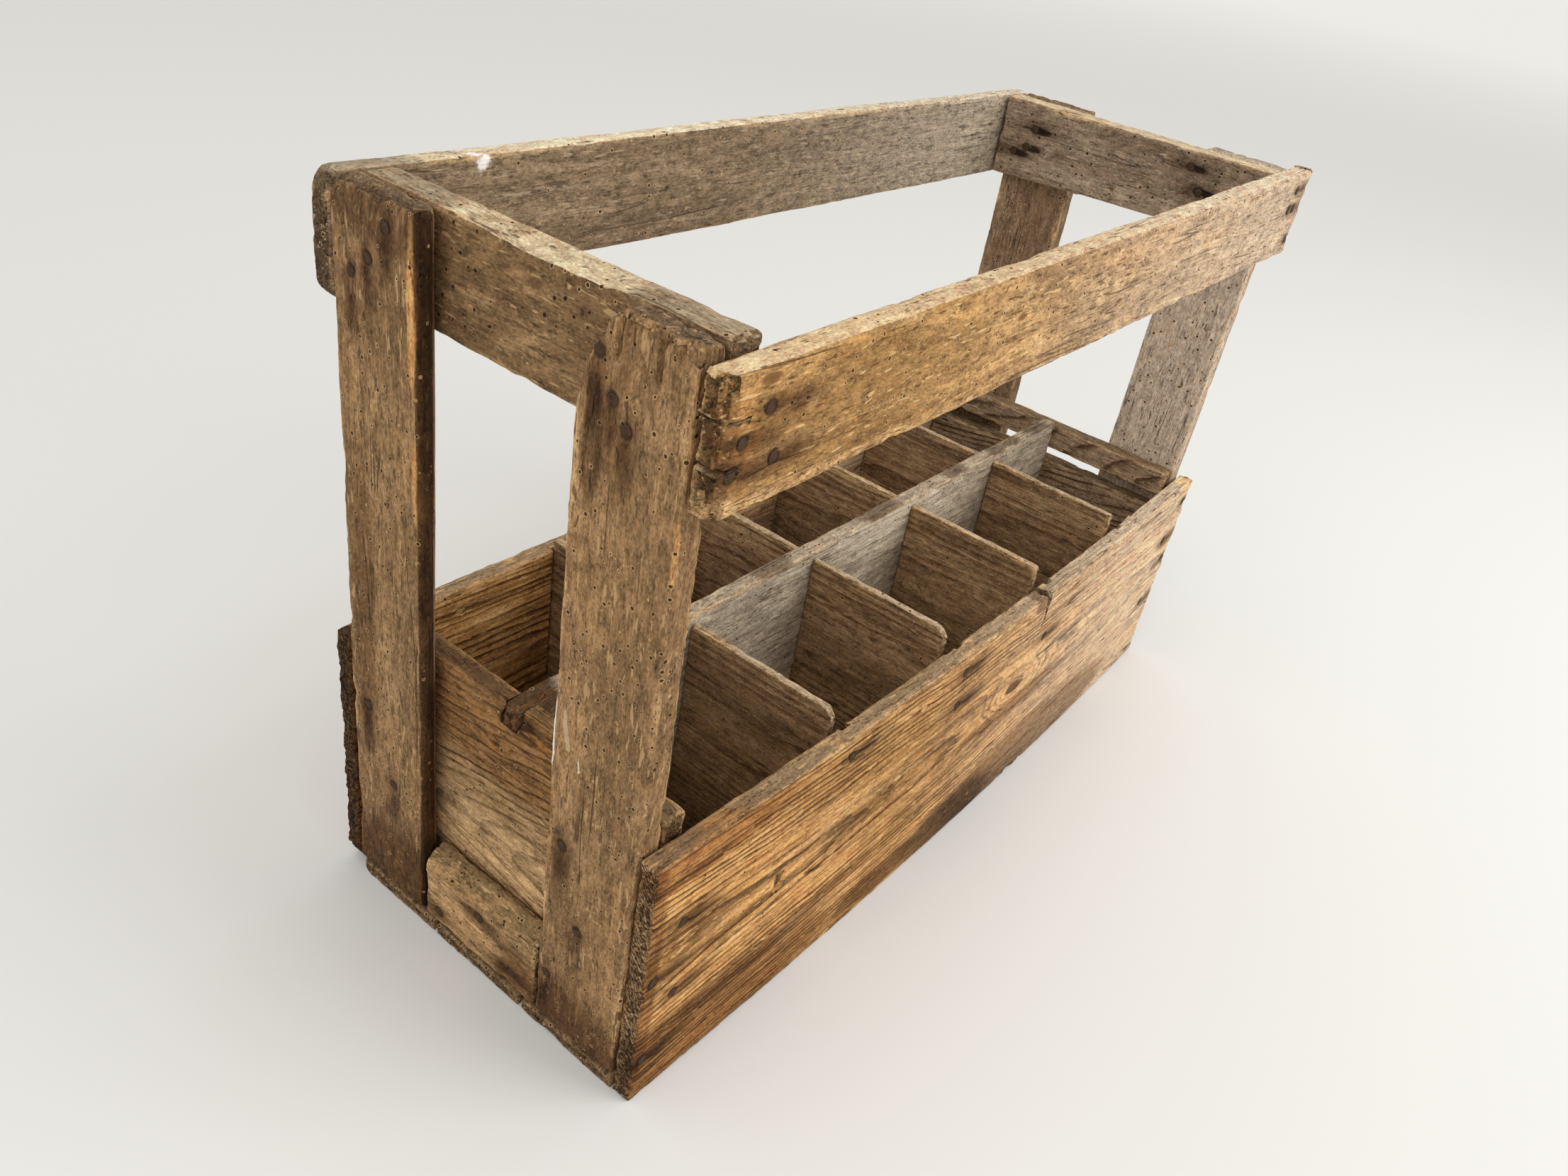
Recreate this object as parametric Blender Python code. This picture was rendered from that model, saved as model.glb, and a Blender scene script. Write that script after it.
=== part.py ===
# A wooden crate for ten bottles, in metres, standing on z = 0.
# X runs along the length with the near short end at -X, and Y runs across with the front at -Y.
# Four flat posts carry a ring of top rails and a low box of boards, and thin dividers lap
# inside the box. Everything is nailed, so nothing moves.

import bmesh
import bpy
from math import cos, pi, radians, sin
from mathutils import Vector

# Fits
JOINT = 0.0003  # gap between two pieces that touch
CUT_OVERRUN = 0.004  # how far a cutter stands out of the piece that it cuts

# Whole crate
CRATE_LENGTH = 0.641
CRATE_WIDTH = 0.2466  # over the two side boards at their ends
CRATE_HEIGHT = 0.425  # to the posts' tops
SIDE_HEIGHT = 0.175  # of the box's two side boards

# Compartments, five along the length and two across
NEAR_CELL = 0.1165
FAR_CELL = 0.099

# Dividers
CROSS_COUNT = 4
CROSS_THICKNESS = 0.006
CROSS_RISE = 0.006  # how far the cross dividers stand above the side boards
CENTRE_THICKNESS = 0.011
CENTRE_RISE = 0.012
TONGUE_HEIGHT = 0.014  # end of the centre divider that shows through the near end board
LAP_SHARE = 0.5  # share of a cross divider's height at which the two slots meet

# Floor planks
PLANK_COUNT = 3
PLANK_THICKNESS = 0.009
PLANK_GAP = 0.002

# Side boards
SIDE_THICKNESS = 0.013
FRONT_BOW = 0.0065  # how far the front board bulges outwards at its middle
BOW_STEPS = 3  # flat steps between two grooves on the bowed board
GROOVE_DEPTH = 0.003
GROOVE_PLAY = 0.0005

# End boards
END_THICKNESS = 0.0155
NEAR_END_RISE = 0.010  # how far the near end board stands above the side boards
SLAT_RISE = 0.008
SLAT_HEIGHT = 0.021
SLAT_GAP = 0.010  # open slot between the far end's two boards

# Posts
POST_WIDTH = 0.062
POST_THICKNESS = 0.017
WORN_CORNER_WIDTH = 0.013  # wear on the near front post's inner top corner
WORN_CORNER_HEIGHT = 0.045
WANE = 0.008  # missing arris along the near back post's inner rear edge

# Top rails
LONG_RAIL_HEIGHT = 0.062
LONG_RAIL_THICKNESS = 0.015
FRONT_RAIL_DROP = 0.005  # the front rail's near end sits this far below the posts' tops
FRONT_RAIL_RISE = 0.003  # and its far end this far above them
END_RAIL_HEIGHT = 0.060
END_RAIL_THICKNESS = 0.020
FAR_RAIL_TAPER = 0.008  # how much narrower the far rail is at its front end

# Bottom battens
BATTEN_HEIGHT = 0.051
BATTEN_CHAMFER = 0.005

# Edges
ARRIS = 0.0015  # rounding of a sawn board's edges
THIN_ARRIS = 0.0008
ARRIS_STEPS = 2
ARRIS_PROFILE_SHARE = 0.5
WELD_SHARE = 0.001  # share of the joint within which a cut snaps to a point

# Nails
NAIL_SIDES = 10
NAIL_SMOOTH_ANGLE = radians(40)
HEAD_RADIUS = 0.0025
HEAD_THICKNESS = 0.001
HEAD_SINK = 0.0002
SHANK_RADIUS = 0.0012
POINT_LENGTH = 0.003
LONG_NAIL = 0.040
DIVIDER_NAIL = 0.046
END_RAIL_NAIL = 0.033
END_BOARD_NAIL = 0.028

# Where nails go, as shares of the board or post that they hold
SIDE_NAIL_SHARES = {"near_front": (0.17, 0.52), "far_front": (0.57, 0.89),
                    "near_back": (0.21, 0.78), "far_back": (0.25, 0.72)}
DIVIDER_NAIL_SHARES = ((0, 0.91), (1, 0.91), (1, 0.76), (2, 0.76))  # divider, share of the height
POST_RAIL_NAIL_SHARE = 0.24
END_RAIL_NAIL_SHARE = 0.62
RAIL_NAIL_SHARES = {"near_front": ((0.19, 0.68), (0.476, 0.23)),
                    "far_front": ((0.19, 0.82), (0.476, 0.36)),
                    "near_back": ((0.355, 0.79), (0.774, 0.34)),
                    "far_back": ((0.39, 0.73), (0.68, 0.42))}
LOW_NAIL_SHARES = {"near_front": (0.19, 0.77), "near_back": (0.44, 0.46),
                   "far_front": (0.3, 0.5), "far_back": (0.6, 0.5)}
BATTEN_NAIL_SHARES = ((0.86, 0.2), (0.5, 0.66))

# Finishes, as colour, roughness and metallic value
WORN_ROUGHNESS = 0.78
DRY_ROUGHNESS = 0.86
RUST_ROUGHNESS = 0.65
WOOD_METALLIC = 0.0
RUST_METALLIC = 0.9
POST_COLOUR = (0.23, 0.16, 0.10)
RAIL_COLOUR = (0.27, 0.18, 0.11)
PINE_COLOUR = (0.40, 0.25, 0.12)
END_COLOUR = (0.30, 0.18, 0.10)
FLOOR_COLOUR = (0.20, 0.13, 0.08)
DIVIDER_COLOUR = (0.30, 0.24, 0.18)
IRON_COLOUR = (0.05, 0.045, 0.045)
POST_WOOD = (POST_COLOUR, WORN_ROUGHNESS, WOOD_METALLIC)
RAIL_WOOD = (RAIL_COLOUR, WORN_ROUGHNESS, WOOD_METALLIC)
PINE_WOOD = (PINE_COLOUR, WORN_ROUGHNESS, WOOD_METALLIC)
END_WOOD = (END_COLOUR, WORN_ROUGHNESS, WOOD_METALLIC)
FLOOR_WOOD = (FLOOR_COLOUR, DRY_ROUGHNESS, WOOD_METALLIC)
DIVIDER_WOOD = (DIVIDER_COLOUR, DRY_ROUGHNESS, WOOD_METALLIC)
IRON = (IRON_COLOUR, RUST_ROUGHNESS, RUST_METALLIC)

# Sizes that follow from the ones above
HALF_LENGTH = CRATE_LENGTH / 2
HALF_WIDTH = CRATE_WIDTH / 2 - SIDE_THICKNESS - JOINT  # to the side boards' inner faces
POST_INNER = HALF_WIDTH - POST_WIDTH
END_FACE = HALF_LENGTH - POST_THICKNESS - JOINT
INNER_END = END_FACE - END_THICKNESS
FIRST_CROSS = -INNER_END + NEAR_CELL + CROSS_THICKNESS / 2
LAST_CROSS = INNER_END - FAR_CELL - CROSS_THICKNESS / 2
CROSS_PITCH = (LAST_CROSS - FIRST_CROSS) / (CROSS_COUNT - 1)
CROSS_PLACES = [FIRST_CROSS + n * CROSS_PITCH for n in range(CROSS_COUNT)]
FLOOR_TOP = PLANK_THICKNESS + JOINT
CROSS_TOP = SIDE_HEIGHT + CROSS_RISE
CENTRE_TOP = SIDE_HEIGHT + CENTRE_RISE
LAP_HEIGHT = FLOOR_TOP + LAP_SHARE * (CROSS_TOP - FLOOR_TOP)
NEAR_END_TOP = SIDE_HEIGHT + NEAR_END_RISE
SLAT_TOP = SIDE_HEIGHT + SLAT_RISE
SLAT_BOTTOM = SLAT_TOP - SLAT_HEIGHT
FAR_BOARD_TOP = SLAT_BOTTOM - SLAT_GAP

# The four corners, as directions along X and Y
CORNERS = {"near_front": (-1, -1), "far_front": (1, -1), "near_back": (-1, 1), "far_back": (1, 1)}

holes = {}  # piece name to the nails that pass through it


# Scene and materials

def clear_objects():
    for old in list(bpy.data.objects):
        bpy.data.objects.remove(old)


def make_material(name, finish):
    colour, roughness, metallic = finish
    material = bpy.data.materials.new(name)
    material.use_nodes = True
    shader = material.node_tree.nodes["Principled BSDF"]
    shader.inputs["Base Color"].default_value = (*colour, 1.0)
    shader.inputs["Roughness"].default_value = roughness
    shader.inputs["Metallic"].default_value = metallic
    return material


def add_object(name, bm, finish):
    bmesh.ops.recalc_face_normals(bm, faces=bm.faces[:])
    mesh = bpy.data.meshes.new(name)
    bm.to_mesh(mesh)
    bm.free()
    mesh.materials.append(make_material(name, finish))
    piece = bpy.data.objects.new(name, mesh)
    bpy.context.collection.objects.link(piece)
    return piece


# Shapes

def box_mesh(low, high):
    bm = bmesh.new()
    bmesh.ops.create_cube(bm)
    low, high = Vector(low), Vector(high)
    for vert in bm.verts:
        vert.co = Vector(high[n] if vert.co[n] > 0 else low[n] for n in range(len(low)))
    return bm


def slice_off(bm, point, outward):
    """Cut away what lies beyond a plane and close the cut."""
    everything = bm.verts[:] + bm.edges[:] + bm.faces[:]
    cut = bmesh.ops.bisect_plane(bm, geom=everything, dist=JOINT * WELD_SHARE, plane_co=point,
                                 plane_no=outward, clear_outer=True)
    rim = [item for item in cut["geom_cut"] if isinstance(item, bmesh.types.BMEdge)]
    bmesh.ops.contextual_create(bm, geom=rim)


def soften(bm, width):
    bmesh.ops.bevel(bm, geom=bm.edges[:], offset=width, segments=ARRIS_STEPS,
                    profile=ARRIS_PROFILE_SHARE, affect="EDGES", clamp_overlap=True)


def add_board(name, low, high, finish, cuts=(), arris=ARRIS):
    bm = box_mesh(low, high)
    for point, outward in cuts:
        slice_off(bm, point, outward)
    soften(bm, arris)
    return add_object(name, bm, finish)


def add_prism(name, outline, axis, low, high, finish):
    """Extrude an outline, drawn in the two other axes, from low to high along an axis."""
    bm = bmesh.new()
    others = [n for n in range(3) if n != axis]
    verts = []
    for pair in outline:
        place = [low] * 3
        place[others[0]], place[others[1]] = pair
        verts.append(bm.verts.new(place))
    face = bm.faces.new(verts)
    grown = bmesh.ops.extrude_face_region(bm, geom=[face])
    moved = [item for item in grown["geom"] if isinstance(item, bmesh.types.BMVert)]
    shift = Vector((0.0, 0.0, 0.0))
    shift[axis] = high - low
    bmesh.ops.translate(bm, verts=moved, vec=shift)
    return add_object(name, bm, finish)


def turn(bm, profile, start, inward):
    """Add a closed round body whose profile is a list of (radius, depth)."""
    inward = Vector(inward)
    side = inward.orthogonal().normalized()
    other = inward.cross(side)
    rings = []
    for radius, depth in profile:
        centre = Vector(start) + inward * depth
        if radius == 0:
            rings.append([bm.verts.new(centre)])
            continue
        angles = [2 * pi * n / NAIL_SIDES for n in range(NAIL_SIDES)]
        rings.append([bm.verts.new(centre + radius * (cos(a) * side + sin(a) * other)) for a in angles])
    for first, second in zip(rings, rings[1:]):
        for n in range(NAIL_SIDES):
            m = (n + 1) % NAIL_SIDES
            corners = [first[n % len(first)], first[m % len(first)],
                       second[m % len(second)], second[n % len(second)]]
            bm.faces.new(dict.fromkeys(corners))


# Nails and their holes

def drive_nail(name, surface, inward, length, pieces):
    head = Vector(surface) + Vector(inward) * HEAD_SINK
    profile = [(0, 0), (HEAD_RADIUS, 0), (HEAD_RADIUS, HEAD_THICKNESS), (SHANK_RADIUS, HEAD_THICKNESS),
               (SHANK_RADIUS, length - POINT_LENGTH), (0, length)]
    bm = bmesh.new()
    turn(bm, profile, head, inward)
    nail = add_object(name, bm, IRON)
    nail.data.shade_smooth()
    nail.data.set_sharp_from_angle(angle=NAIL_SMOOTH_ANGLE)
    for piece in pieces:
        holes.setdefault(piece, []).append((head, inward, length))


def bore_holes():
    """Cut each nail's hole, with its room for the head, out of every piece that it passes."""
    for piece, nails in holes.items():
        bm = bmesh.new()
        for head, inward, length in nails:
            seat = HEAD_THICKNESS + JOINT
            end = length + JOINT
            profile = [(0, -CUT_OVERRUN), (HEAD_RADIUS + JOINT, -CUT_OVERRUN), (HEAD_RADIUS + JOINT, seat),
                       (SHANK_RADIUS + JOINT, seat), (SHANK_RADIUS + JOINT, end), (0, end)]
            turn(bm, profile, head, inward)
        cutter = add_object(piece + "_holes", bm, IRON)
        cutter.hide_render = True
        cutter.display_type = "WIRE"
        cut = bpy.data.objects[piece].modifiers.new("nail holes", "BOOLEAN")
        cut.operation = "DIFFERENCE"
        cut.solver = "EXACT"
        cut.object = cutter


# Frame

def bow_at(x, bow):
    return bow * (1 - (x / HALF_LENGTH) ** 2)


def outer_side_y(side, x):
    """Y of a side board's outer face at x."""
    bow = FRONT_BOW if side < 0 else 0.0
    return side * (HALF_WIDTH + JOINT + SIDE_THICKNESS + bow_at(x, bow))


def span(first, second):
    return min(first, second), max(first, second)


def add_posts():
    worn_from = CRATE_HEIGHT - WORN_CORNER_HEIGHT
    worn = ((0.0, -POST_INNER, worn_from), (0.0, WORN_CORNER_HEIGHT, WORN_CORNER_WIDTH))
    wane = ((-HALF_LENGTH + POST_THICKNESS - WANE, POST_INNER, 0.0), (1.0, -1.0, 0.0))
    cuts = {"near_front": (worn,), "near_back": (wane,)}
    for corner, (along, across) in CORNERS.items():
        x_low, x_high = span(along * HALF_LENGTH, along * (HALF_LENGTH - POST_THICKNESS))
        y_low, y_high = span(across * HALF_WIDTH, across * POST_INNER)
        add_board(corner + "_post", (x_low, y_low, FLOOR_TOP), (x_high, y_high, CRATE_HEIGHT),
                  POST_WOOD, cuts.get(corner, ()))


def add_long_rails():
    inner = HALF_WIDTH + JOINT
    outer = inner + LONG_RAIL_THICKNESS
    bottom = CRATE_HEIGHT - LONG_RAIL_HEIGHT
    add_board("back_top_rail", (-HALF_LENGTH, inner, bottom), (HALF_LENGTH, outer, CRATE_HEIGHT), RAIL_WOOD)
    front = add_board("front_top_rail", (-HALF_LENGTH, -outer, bottom), (HALF_LENGTH, -inner, CRATE_HEIGHT),
                      RAIL_WOOD)
    for vert in front.data.vertices:
        along = (vert.co.x + HALF_LENGTH) / (2 * HALF_LENGTH)
        vert.co.z += along * FRONT_RAIL_RISE - (1 - along) * FRONT_RAIL_DROP


def add_end_rails():
    outer = END_FACE
    inner = END_FACE - END_RAIL_THICKNESS
    bottom = CRATE_HEIGHT - END_RAIL_HEIGHT
    add_board("near_top_rail", (-outer, -HALF_WIDTH, bottom), (-inner, HALF_WIDTH, CRATE_HEIGHT), RAIL_WOOD)
    taper = ((0.0, HALF_WIDTH, bottom), (0.0, -FAR_RAIL_TAPER, -2 * HALF_WIDTH))
    add_board("far_top_rail", (inner, -HALF_WIDTH, bottom), (outer, HALF_WIDTH, CRATE_HEIGHT), RAIL_WOOD,
              (taper,))


def side_outline(side, bow, steps):
    """Plan of a side board: inner face with a groove at each cross divider, then the outer face."""
    half_groove = CROSS_THICKNESS / 2 + GROOVE_PLAY
    inner = HALF_WIDTH + JOINT
    breaks = [-HALF_LENGTH]
    for place in CROSS_PLACES:
        breaks += [place - half_groove, place + half_groove]
    breaks.append(HALF_LENGTH)
    inside = []
    outside = []
    for start, stop in zip(breaks[::2], breaks[1::2]):
        if inside:
            inside.append((start, inside[-1][1] + GROOVE_DEPTH))
        for n in range(steps + 1):
            x = start + (stop - start) * n / steps
            inside.append((x, inner + bow_at(x, bow)))
            outside.append((x, inner + SIDE_THICKNESS + bow_at(x, bow)))
        if stop < HALF_LENGTH:
            inside.append((stop, inside[-1][1] + GROOVE_DEPTH))
    return [(x, side * y) for x, y in inside + outside[::-1]]


def add_side_boards():
    add_prism("front_side_board", side_outline(-1, FRONT_BOW, BOW_STEPS), 2, 0.0, SIDE_HEIGHT, PINE_WOOD)
    add_prism("back_side_board", side_outline(1, 0.0, 1), 2, 0.0, SIDE_HEIGHT, PINE_WOOD)


def add_near_end_board():
    """The near end board, notched at the middle of its top for the centre divider's tongue."""
    top = NEAR_END_TOP
    notch = CENTRE_THICKNESS / 2 + JOINT
    floor = CENTRE_TOP - TONGUE_HEIGHT - JOINT
    outline = [(-HALF_WIDTH, FLOOR_TOP), (HALF_WIDTH, FLOOR_TOP), (HALF_WIDTH, top), (notch, top),
               (notch, floor), (-notch, floor), (-notch, top), (-HALF_WIDTH, top)]
    add_prism("near_end_board", outline, 0, -END_FACE, -INNER_END, END_WOOD)


def add_far_end():
    """The far end: a lower board and a narrow slat with an open slot between them."""
    add_board("far_end_board", (INNER_END, -HALF_WIDTH, FLOOR_TOP),
              (END_FACE, HALF_WIDTH, FAR_BOARD_TOP), END_WOOD, (), THIN_ARRIS)
    add_board("far_end_slat", (INNER_END, -HALF_WIDTH, SLAT_BOTTOM),
              (END_FACE, HALF_WIDTH, SLAT_TOP), END_WOOD, (), THIN_ARRIS)


def add_battens():
    half = POST_INNER - JOINT
    top = FLOOR_TOP + BATTEN_HEIGHT
    for name, along in (("near", -1), ("far", 1)):
        x_low, x_high = span(along * HALF_LENGTH, along * (HALF_LENGTH - POST_THICKNESS))
        chamfer = ((along * HALF_LENGTH, 0.0, top - BATTEN_CHAMFER), (along, 0.0, 1.0))
        add_board(name + "_batten", (x_low, -half, FLOOR_TOP), (x_high, half, top), POST_WOOD, (chamfer,))


def add_planks():
    width = (2 * HALF_WIDTH - (PLANK_COUNT - 1) * PLANK_GAP) / PLANK_COUNT
    for n, name in enumerate(("front", "middle", "back")):
        start = -HALF_WIDTH + n * (width + PLANK_GAP)
        add_board("floor_plank_" + name, (-HALF_LENGTH, start, 0.0),
                  (HALF_LENGTH, start + width, PLANK_THICKNESS), FLOOR_WOOD, (), THIN_ARRIS)


# Dividers

def add_centre_divider():
    """The lengthwise divider, slotted from below over the cross dividers, with a tongue at -X."""
    top = CENTRE_TOP
    slot = CROSS_THICKNESS / 2 + JOINT
    outline = [(-INNER_END + JOINT, FLOOR_TOP)]
    for place in CROSS_PLACES:
        outline += [(place - slot, FLOOR_TOP), (place - slot, LAP_HEIGHT + JOINT),
                    (place + slot, LAP_HEIGHT + JOINT), (place + slot, FLOOR_TOP)]
    outline += [(INNER_END - JOINT, FLOOR_TOP), (INNER_END - JOINT, top), (-END_FACE, top),
                (-END_FACE, top - TONGUE_HEIGHT), (-INNER_END + JOINT, top - TONGUE_HEIGHT)]
    half = CENTRE_THICKNESS / 2
    add_prism("centre_divider", outline, 1, -half, half, DIVIDER_WOOD)


def add_cross_dividers():
    """Thin dividers, slotted from above, whose back ends stand in the back board's grooves."""
    top = CROSS_TOP
    slot = CENTRE_THICKNESS / 2 + JOINT
    front = -HALF_WIDTH
    back = HALF_WIDTH + GROOVE_DEPTH
    outline = [(front, FLOOR_TOP), (back, FLOOR_TOP), (back, top), (slot, top),
               (slot, LAP_HEIGHT), (-slot, LAP_HEIGHT), (-slot, top), (front, top)]
    half = CROSS_THICKNESS / 2
    for n, place in enumerate(CROSS_PLACES, 1):
        add_prism(f"cross_divider_{n}", outline, 0, place - half, place + half, DIVIDER_WOOD)


# Nails in place

def nail_side_boards():
    """Two nails through each end of each side board into the post behind it."""
    for corner, (along, across) in CORNERS.items():
        side = "front" if across < 0 else "back"
        x = along * (HALF_LENGTH - POST_THICKNESS / 2)
        for n, share in enumerate(SIDE_NAIL_SHARES[corner], 1):
            surface = (x, outer_side_y(across, x), share * SIDE_HEIGHT)
            drive_nail(f"{corner}_board_nail_{n}", surface, (0, -across, 0), LONG_NAIL,
                       (side + "_side_board", corner + "_post"))


def nail_dividers():
    """Nails through the front board into the cross dividers' ends."""
    for n, (divider, share) in enumerate(DIVIDER_NAIL_SHARES, 1):
        x = CROSS_PLACES[divider]
        surface = (x, outer_side_y(-1, x), share * SIDE_HEIGHT)
        drive_nail(f"divider_nail_{n}", surface, (0, 1, 0), DIVIDER_NAIL,
                   ("front_side_board", f"cross_divider_{divider + 1}"))


def nail_long_rails():
    """One nail into the post and one into the end rail's end at each end of each long rail."""
    for corner, (along, across) in CORNERS.items():
        side, end = ("front" if across < 0 else "back"), ("near" if along < 0 else "far")
        y = across * (HALF_WIDTH + JOINT + LONG_RAIL_THICKNESS)
        places = ((HALF_LENGTH - POST_THICKNESS / 2, POST_RAIL_NAIL_SHARE, corner + "_post"),
                  (END_FACE - END_RAIL_THICKNESS / 2, END_RAIL_NAIL_SHARE, end + "_top_rail"))
        for n, (reach, share, held) in enumerate(places, 1):
            height = CRATE_HEIGHT - (1 - share) * LONG_RAIL_HEIGHT
            drive_nail(f"{corner}_rail_nail_{n}", (along * reach, y, height), (0, -across, 0), LONG_NAIL,
                       (side + "_top_rail", held))


def nail_posts():
    """Two nails through each post into the end rail, and one into the end board or slat."""
    for corner, (along, across) in CORNERS.items():
        end = "near" if along < 0 else "far"
        x = along * HALF_LENGTH
        for n, (out, up) in enumerate(RAIL_NAIL_SHARES[corner], 1):
            height = CRATE_HEIGHT - (1 - up) * END_RAIL_HEIGHT
            surface = (x, across * (POST_INNER + out * POST_WIDTH), height)
            drive_nail(f"{corner}_post_nail_{n}", surface, (-along, 0, 0), END_RAIL_NAIL,
                       (corner + "_post", end + "_top_rail"))
        out, up = LOW_NAIL_SHARES[corner]
        if along < 0:
            height, held = FLOOR_TOP + up * (NEAR_END_TOP - FLOOR_TOP), "near_end_board"
        else:
            height, held = SLAT_BOTTOM + up * SLAT_HEIGHT, "far_end_slat"
        surface = (x, across * (POST_INNER + out * POST_WIDTH), height)
        drive_nail(f"{corner}_low_nail", surface, (-along, 0, 0), END_BOARD_NAIL, (corner + "_post", held))


def nail_battens():
    """Two nails through each batten into the board behind it."""
    for end, along in (("near", -1), ("far", 1)):
        for n, (across, up) in enumerate(BATTEN_NAIL_SHARES, 1):
            surface = (along * HALF_LENGTH, (2 * across - 1) * POST_INNER, FLOOR_TOP + up * BATTEN_HEIGHT)
            drive_nail(f"{end}_batten_nail_{n}", surface, (-along, 0, 0), END_BOARD_NAIL,
                       (end + "_batten", end + "_end_board"))


def main():
    clear_objects()
    add_planks()
    add_side_boards()
    add_near_end_board()
    add_far_end()
    add_posts()
    add_battens()
    add_long_rails()
    add_end_rails()
    add_centre_divider()
    add_cross_dividers()
    nail_side_boards()
    nail_dividers()
    nail_long_rails()
    nail_posts()
    nail_battens()
    bore_holes()


main()
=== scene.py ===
# %% [markdown]
# # A weathered wooden bottle crate
#
# The crate is a box of nailed boards on four flat posts, with a ring of rails on top. The measured
# frame is already there, so this lesson is about what makes old wood look old: soft, chipped
# edges, raised grain, dents round the nails, and a finish that follows the growth rings.
# We first load the frame, because nothing we add may stand outside it.

import math

import bmesh
import bpy
import numpy as np
from mathutils import Matrix, Vector


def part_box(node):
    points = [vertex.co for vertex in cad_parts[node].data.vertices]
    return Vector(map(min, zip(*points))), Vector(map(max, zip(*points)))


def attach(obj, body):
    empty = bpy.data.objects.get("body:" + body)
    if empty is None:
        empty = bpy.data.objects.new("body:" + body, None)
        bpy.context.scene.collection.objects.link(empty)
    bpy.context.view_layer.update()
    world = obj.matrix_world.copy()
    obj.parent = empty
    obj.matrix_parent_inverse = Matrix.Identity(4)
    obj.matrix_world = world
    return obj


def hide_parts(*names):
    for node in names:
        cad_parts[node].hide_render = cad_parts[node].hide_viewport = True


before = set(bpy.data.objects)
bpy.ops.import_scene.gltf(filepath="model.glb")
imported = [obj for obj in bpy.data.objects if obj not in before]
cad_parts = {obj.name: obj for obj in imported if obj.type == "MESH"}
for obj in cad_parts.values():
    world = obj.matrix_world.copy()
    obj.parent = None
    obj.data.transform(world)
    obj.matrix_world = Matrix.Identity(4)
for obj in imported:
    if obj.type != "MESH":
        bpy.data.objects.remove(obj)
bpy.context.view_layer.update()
print("measured nodes:", len(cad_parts))

# %% [markdown]
# ## Camera
#
# The viewing point was solved from the crate's own corners: a little above it and close to its
# near corner, with the head tipped by ten degrees. A camera is placed by a matrix whose columns
# are its right, up and backward directions, so the three angles are turned into those first.

# %% Camera
EYE = Vector((-0.62770, -0.36245, 0.58657))
AZIMUTH, DOWN, ROLL = (math.radians(angle) for angle in (56.854, 32.550, 10.447))
FOCAL_PIXELS, FRAME_PIXELS = 1704.5, 2212

ahead = Vector((math.sin(AZIMUTH) * math.cos(DOWN), math.cos(AZIMUTH) * math.cos(DOWN),
                -math.sin(DOWN)))
level = Vector((math.cos(AZIMUTH), -math.sin(AZIMUTH), 0.0))
upright = level.cross(ahead)
right = math.cos(ROLL) * level + math.sin(ROLL) * upright
up = math.cos(ROLL) * upright - math.sin(ROLL) * level

bpy.ops.object.select_all(action="DESELECT")
bpy.ops.object.camera_add()
camera = bpy.context.object
camera.matrix_world = Matrix([(right[n], up[n], -ahead[n], EYE[n]) for n in range(3)] + [(0, 0, 0, 1)])
camera.data.sensor_width = 36
camera.data.lens = FOCAL_PIXELS / FRAME_PIXELS * camera.data.sensor_width
camera.data.clip_start = 0.01
bpy.context.scene.camera = camera
print("lens, mm:", round(camera.data.lens, 2))

# %% [markdown]
# ## Writing a finish as sums
#
# A wood finish needs dozens of small sums: distance from the pith, distance from the nearest
# nail, distance from an edge. They could be drawn by hand in the shader editor, but a web of two
# hundred nodes is slow to read. A small class can wrap one socket instead, so that `a * 2 + b`
# adds the Math nodes itself.

# %% A socket that can be added up
class Shade:
    """One socket of a finish. Arithmetic on it adds Math nodes."""

    def __init__(self, finish, socket):
        self.finish = finish
        self.socket = socket

    def out(self, name):
        """Another output of the node that this socket is on."""
        return Shade(self.finish, self.socket.node.outputs[name])

    def math(self, operation, *others):
        return self.finish.sum(operation, self, *others)

    def __add__(self, other):
        return self.math("ADD", other)

    def __radd__(self, other):
        return self.math("ADD", other)

    def __sub__(self, other):
        return self.math("SUBTRACT", other)

    def __rsub__(self, other):
        return self.finish.sum("SUBTRACT", other, self)

    def __mul__(self, other):
        return self.math("MULTIPLY", other)

    def __rmul__(self, other):
        return self.math("MULTIPLY", other)

    def __truediv__(self, other):
        return self.math("DIVIDE", other)

    def __pow__(self, other):
        return self.math("POWER", other)


print("a socket understands:", [name.strip("_") for name in vars(Shade) if name.startswith("__r")])

# %% [markdown]
# ## Nodes from plain calls
#
# Every other node comes from one method. It takes the node's type, its settings, which go in
# first because they can change the node's sockets, and then a value or a link for each socket. A
# few short helpers name the nodes that a finish uses most: a smooth step, a blend of two colours
# and a noise.

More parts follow.
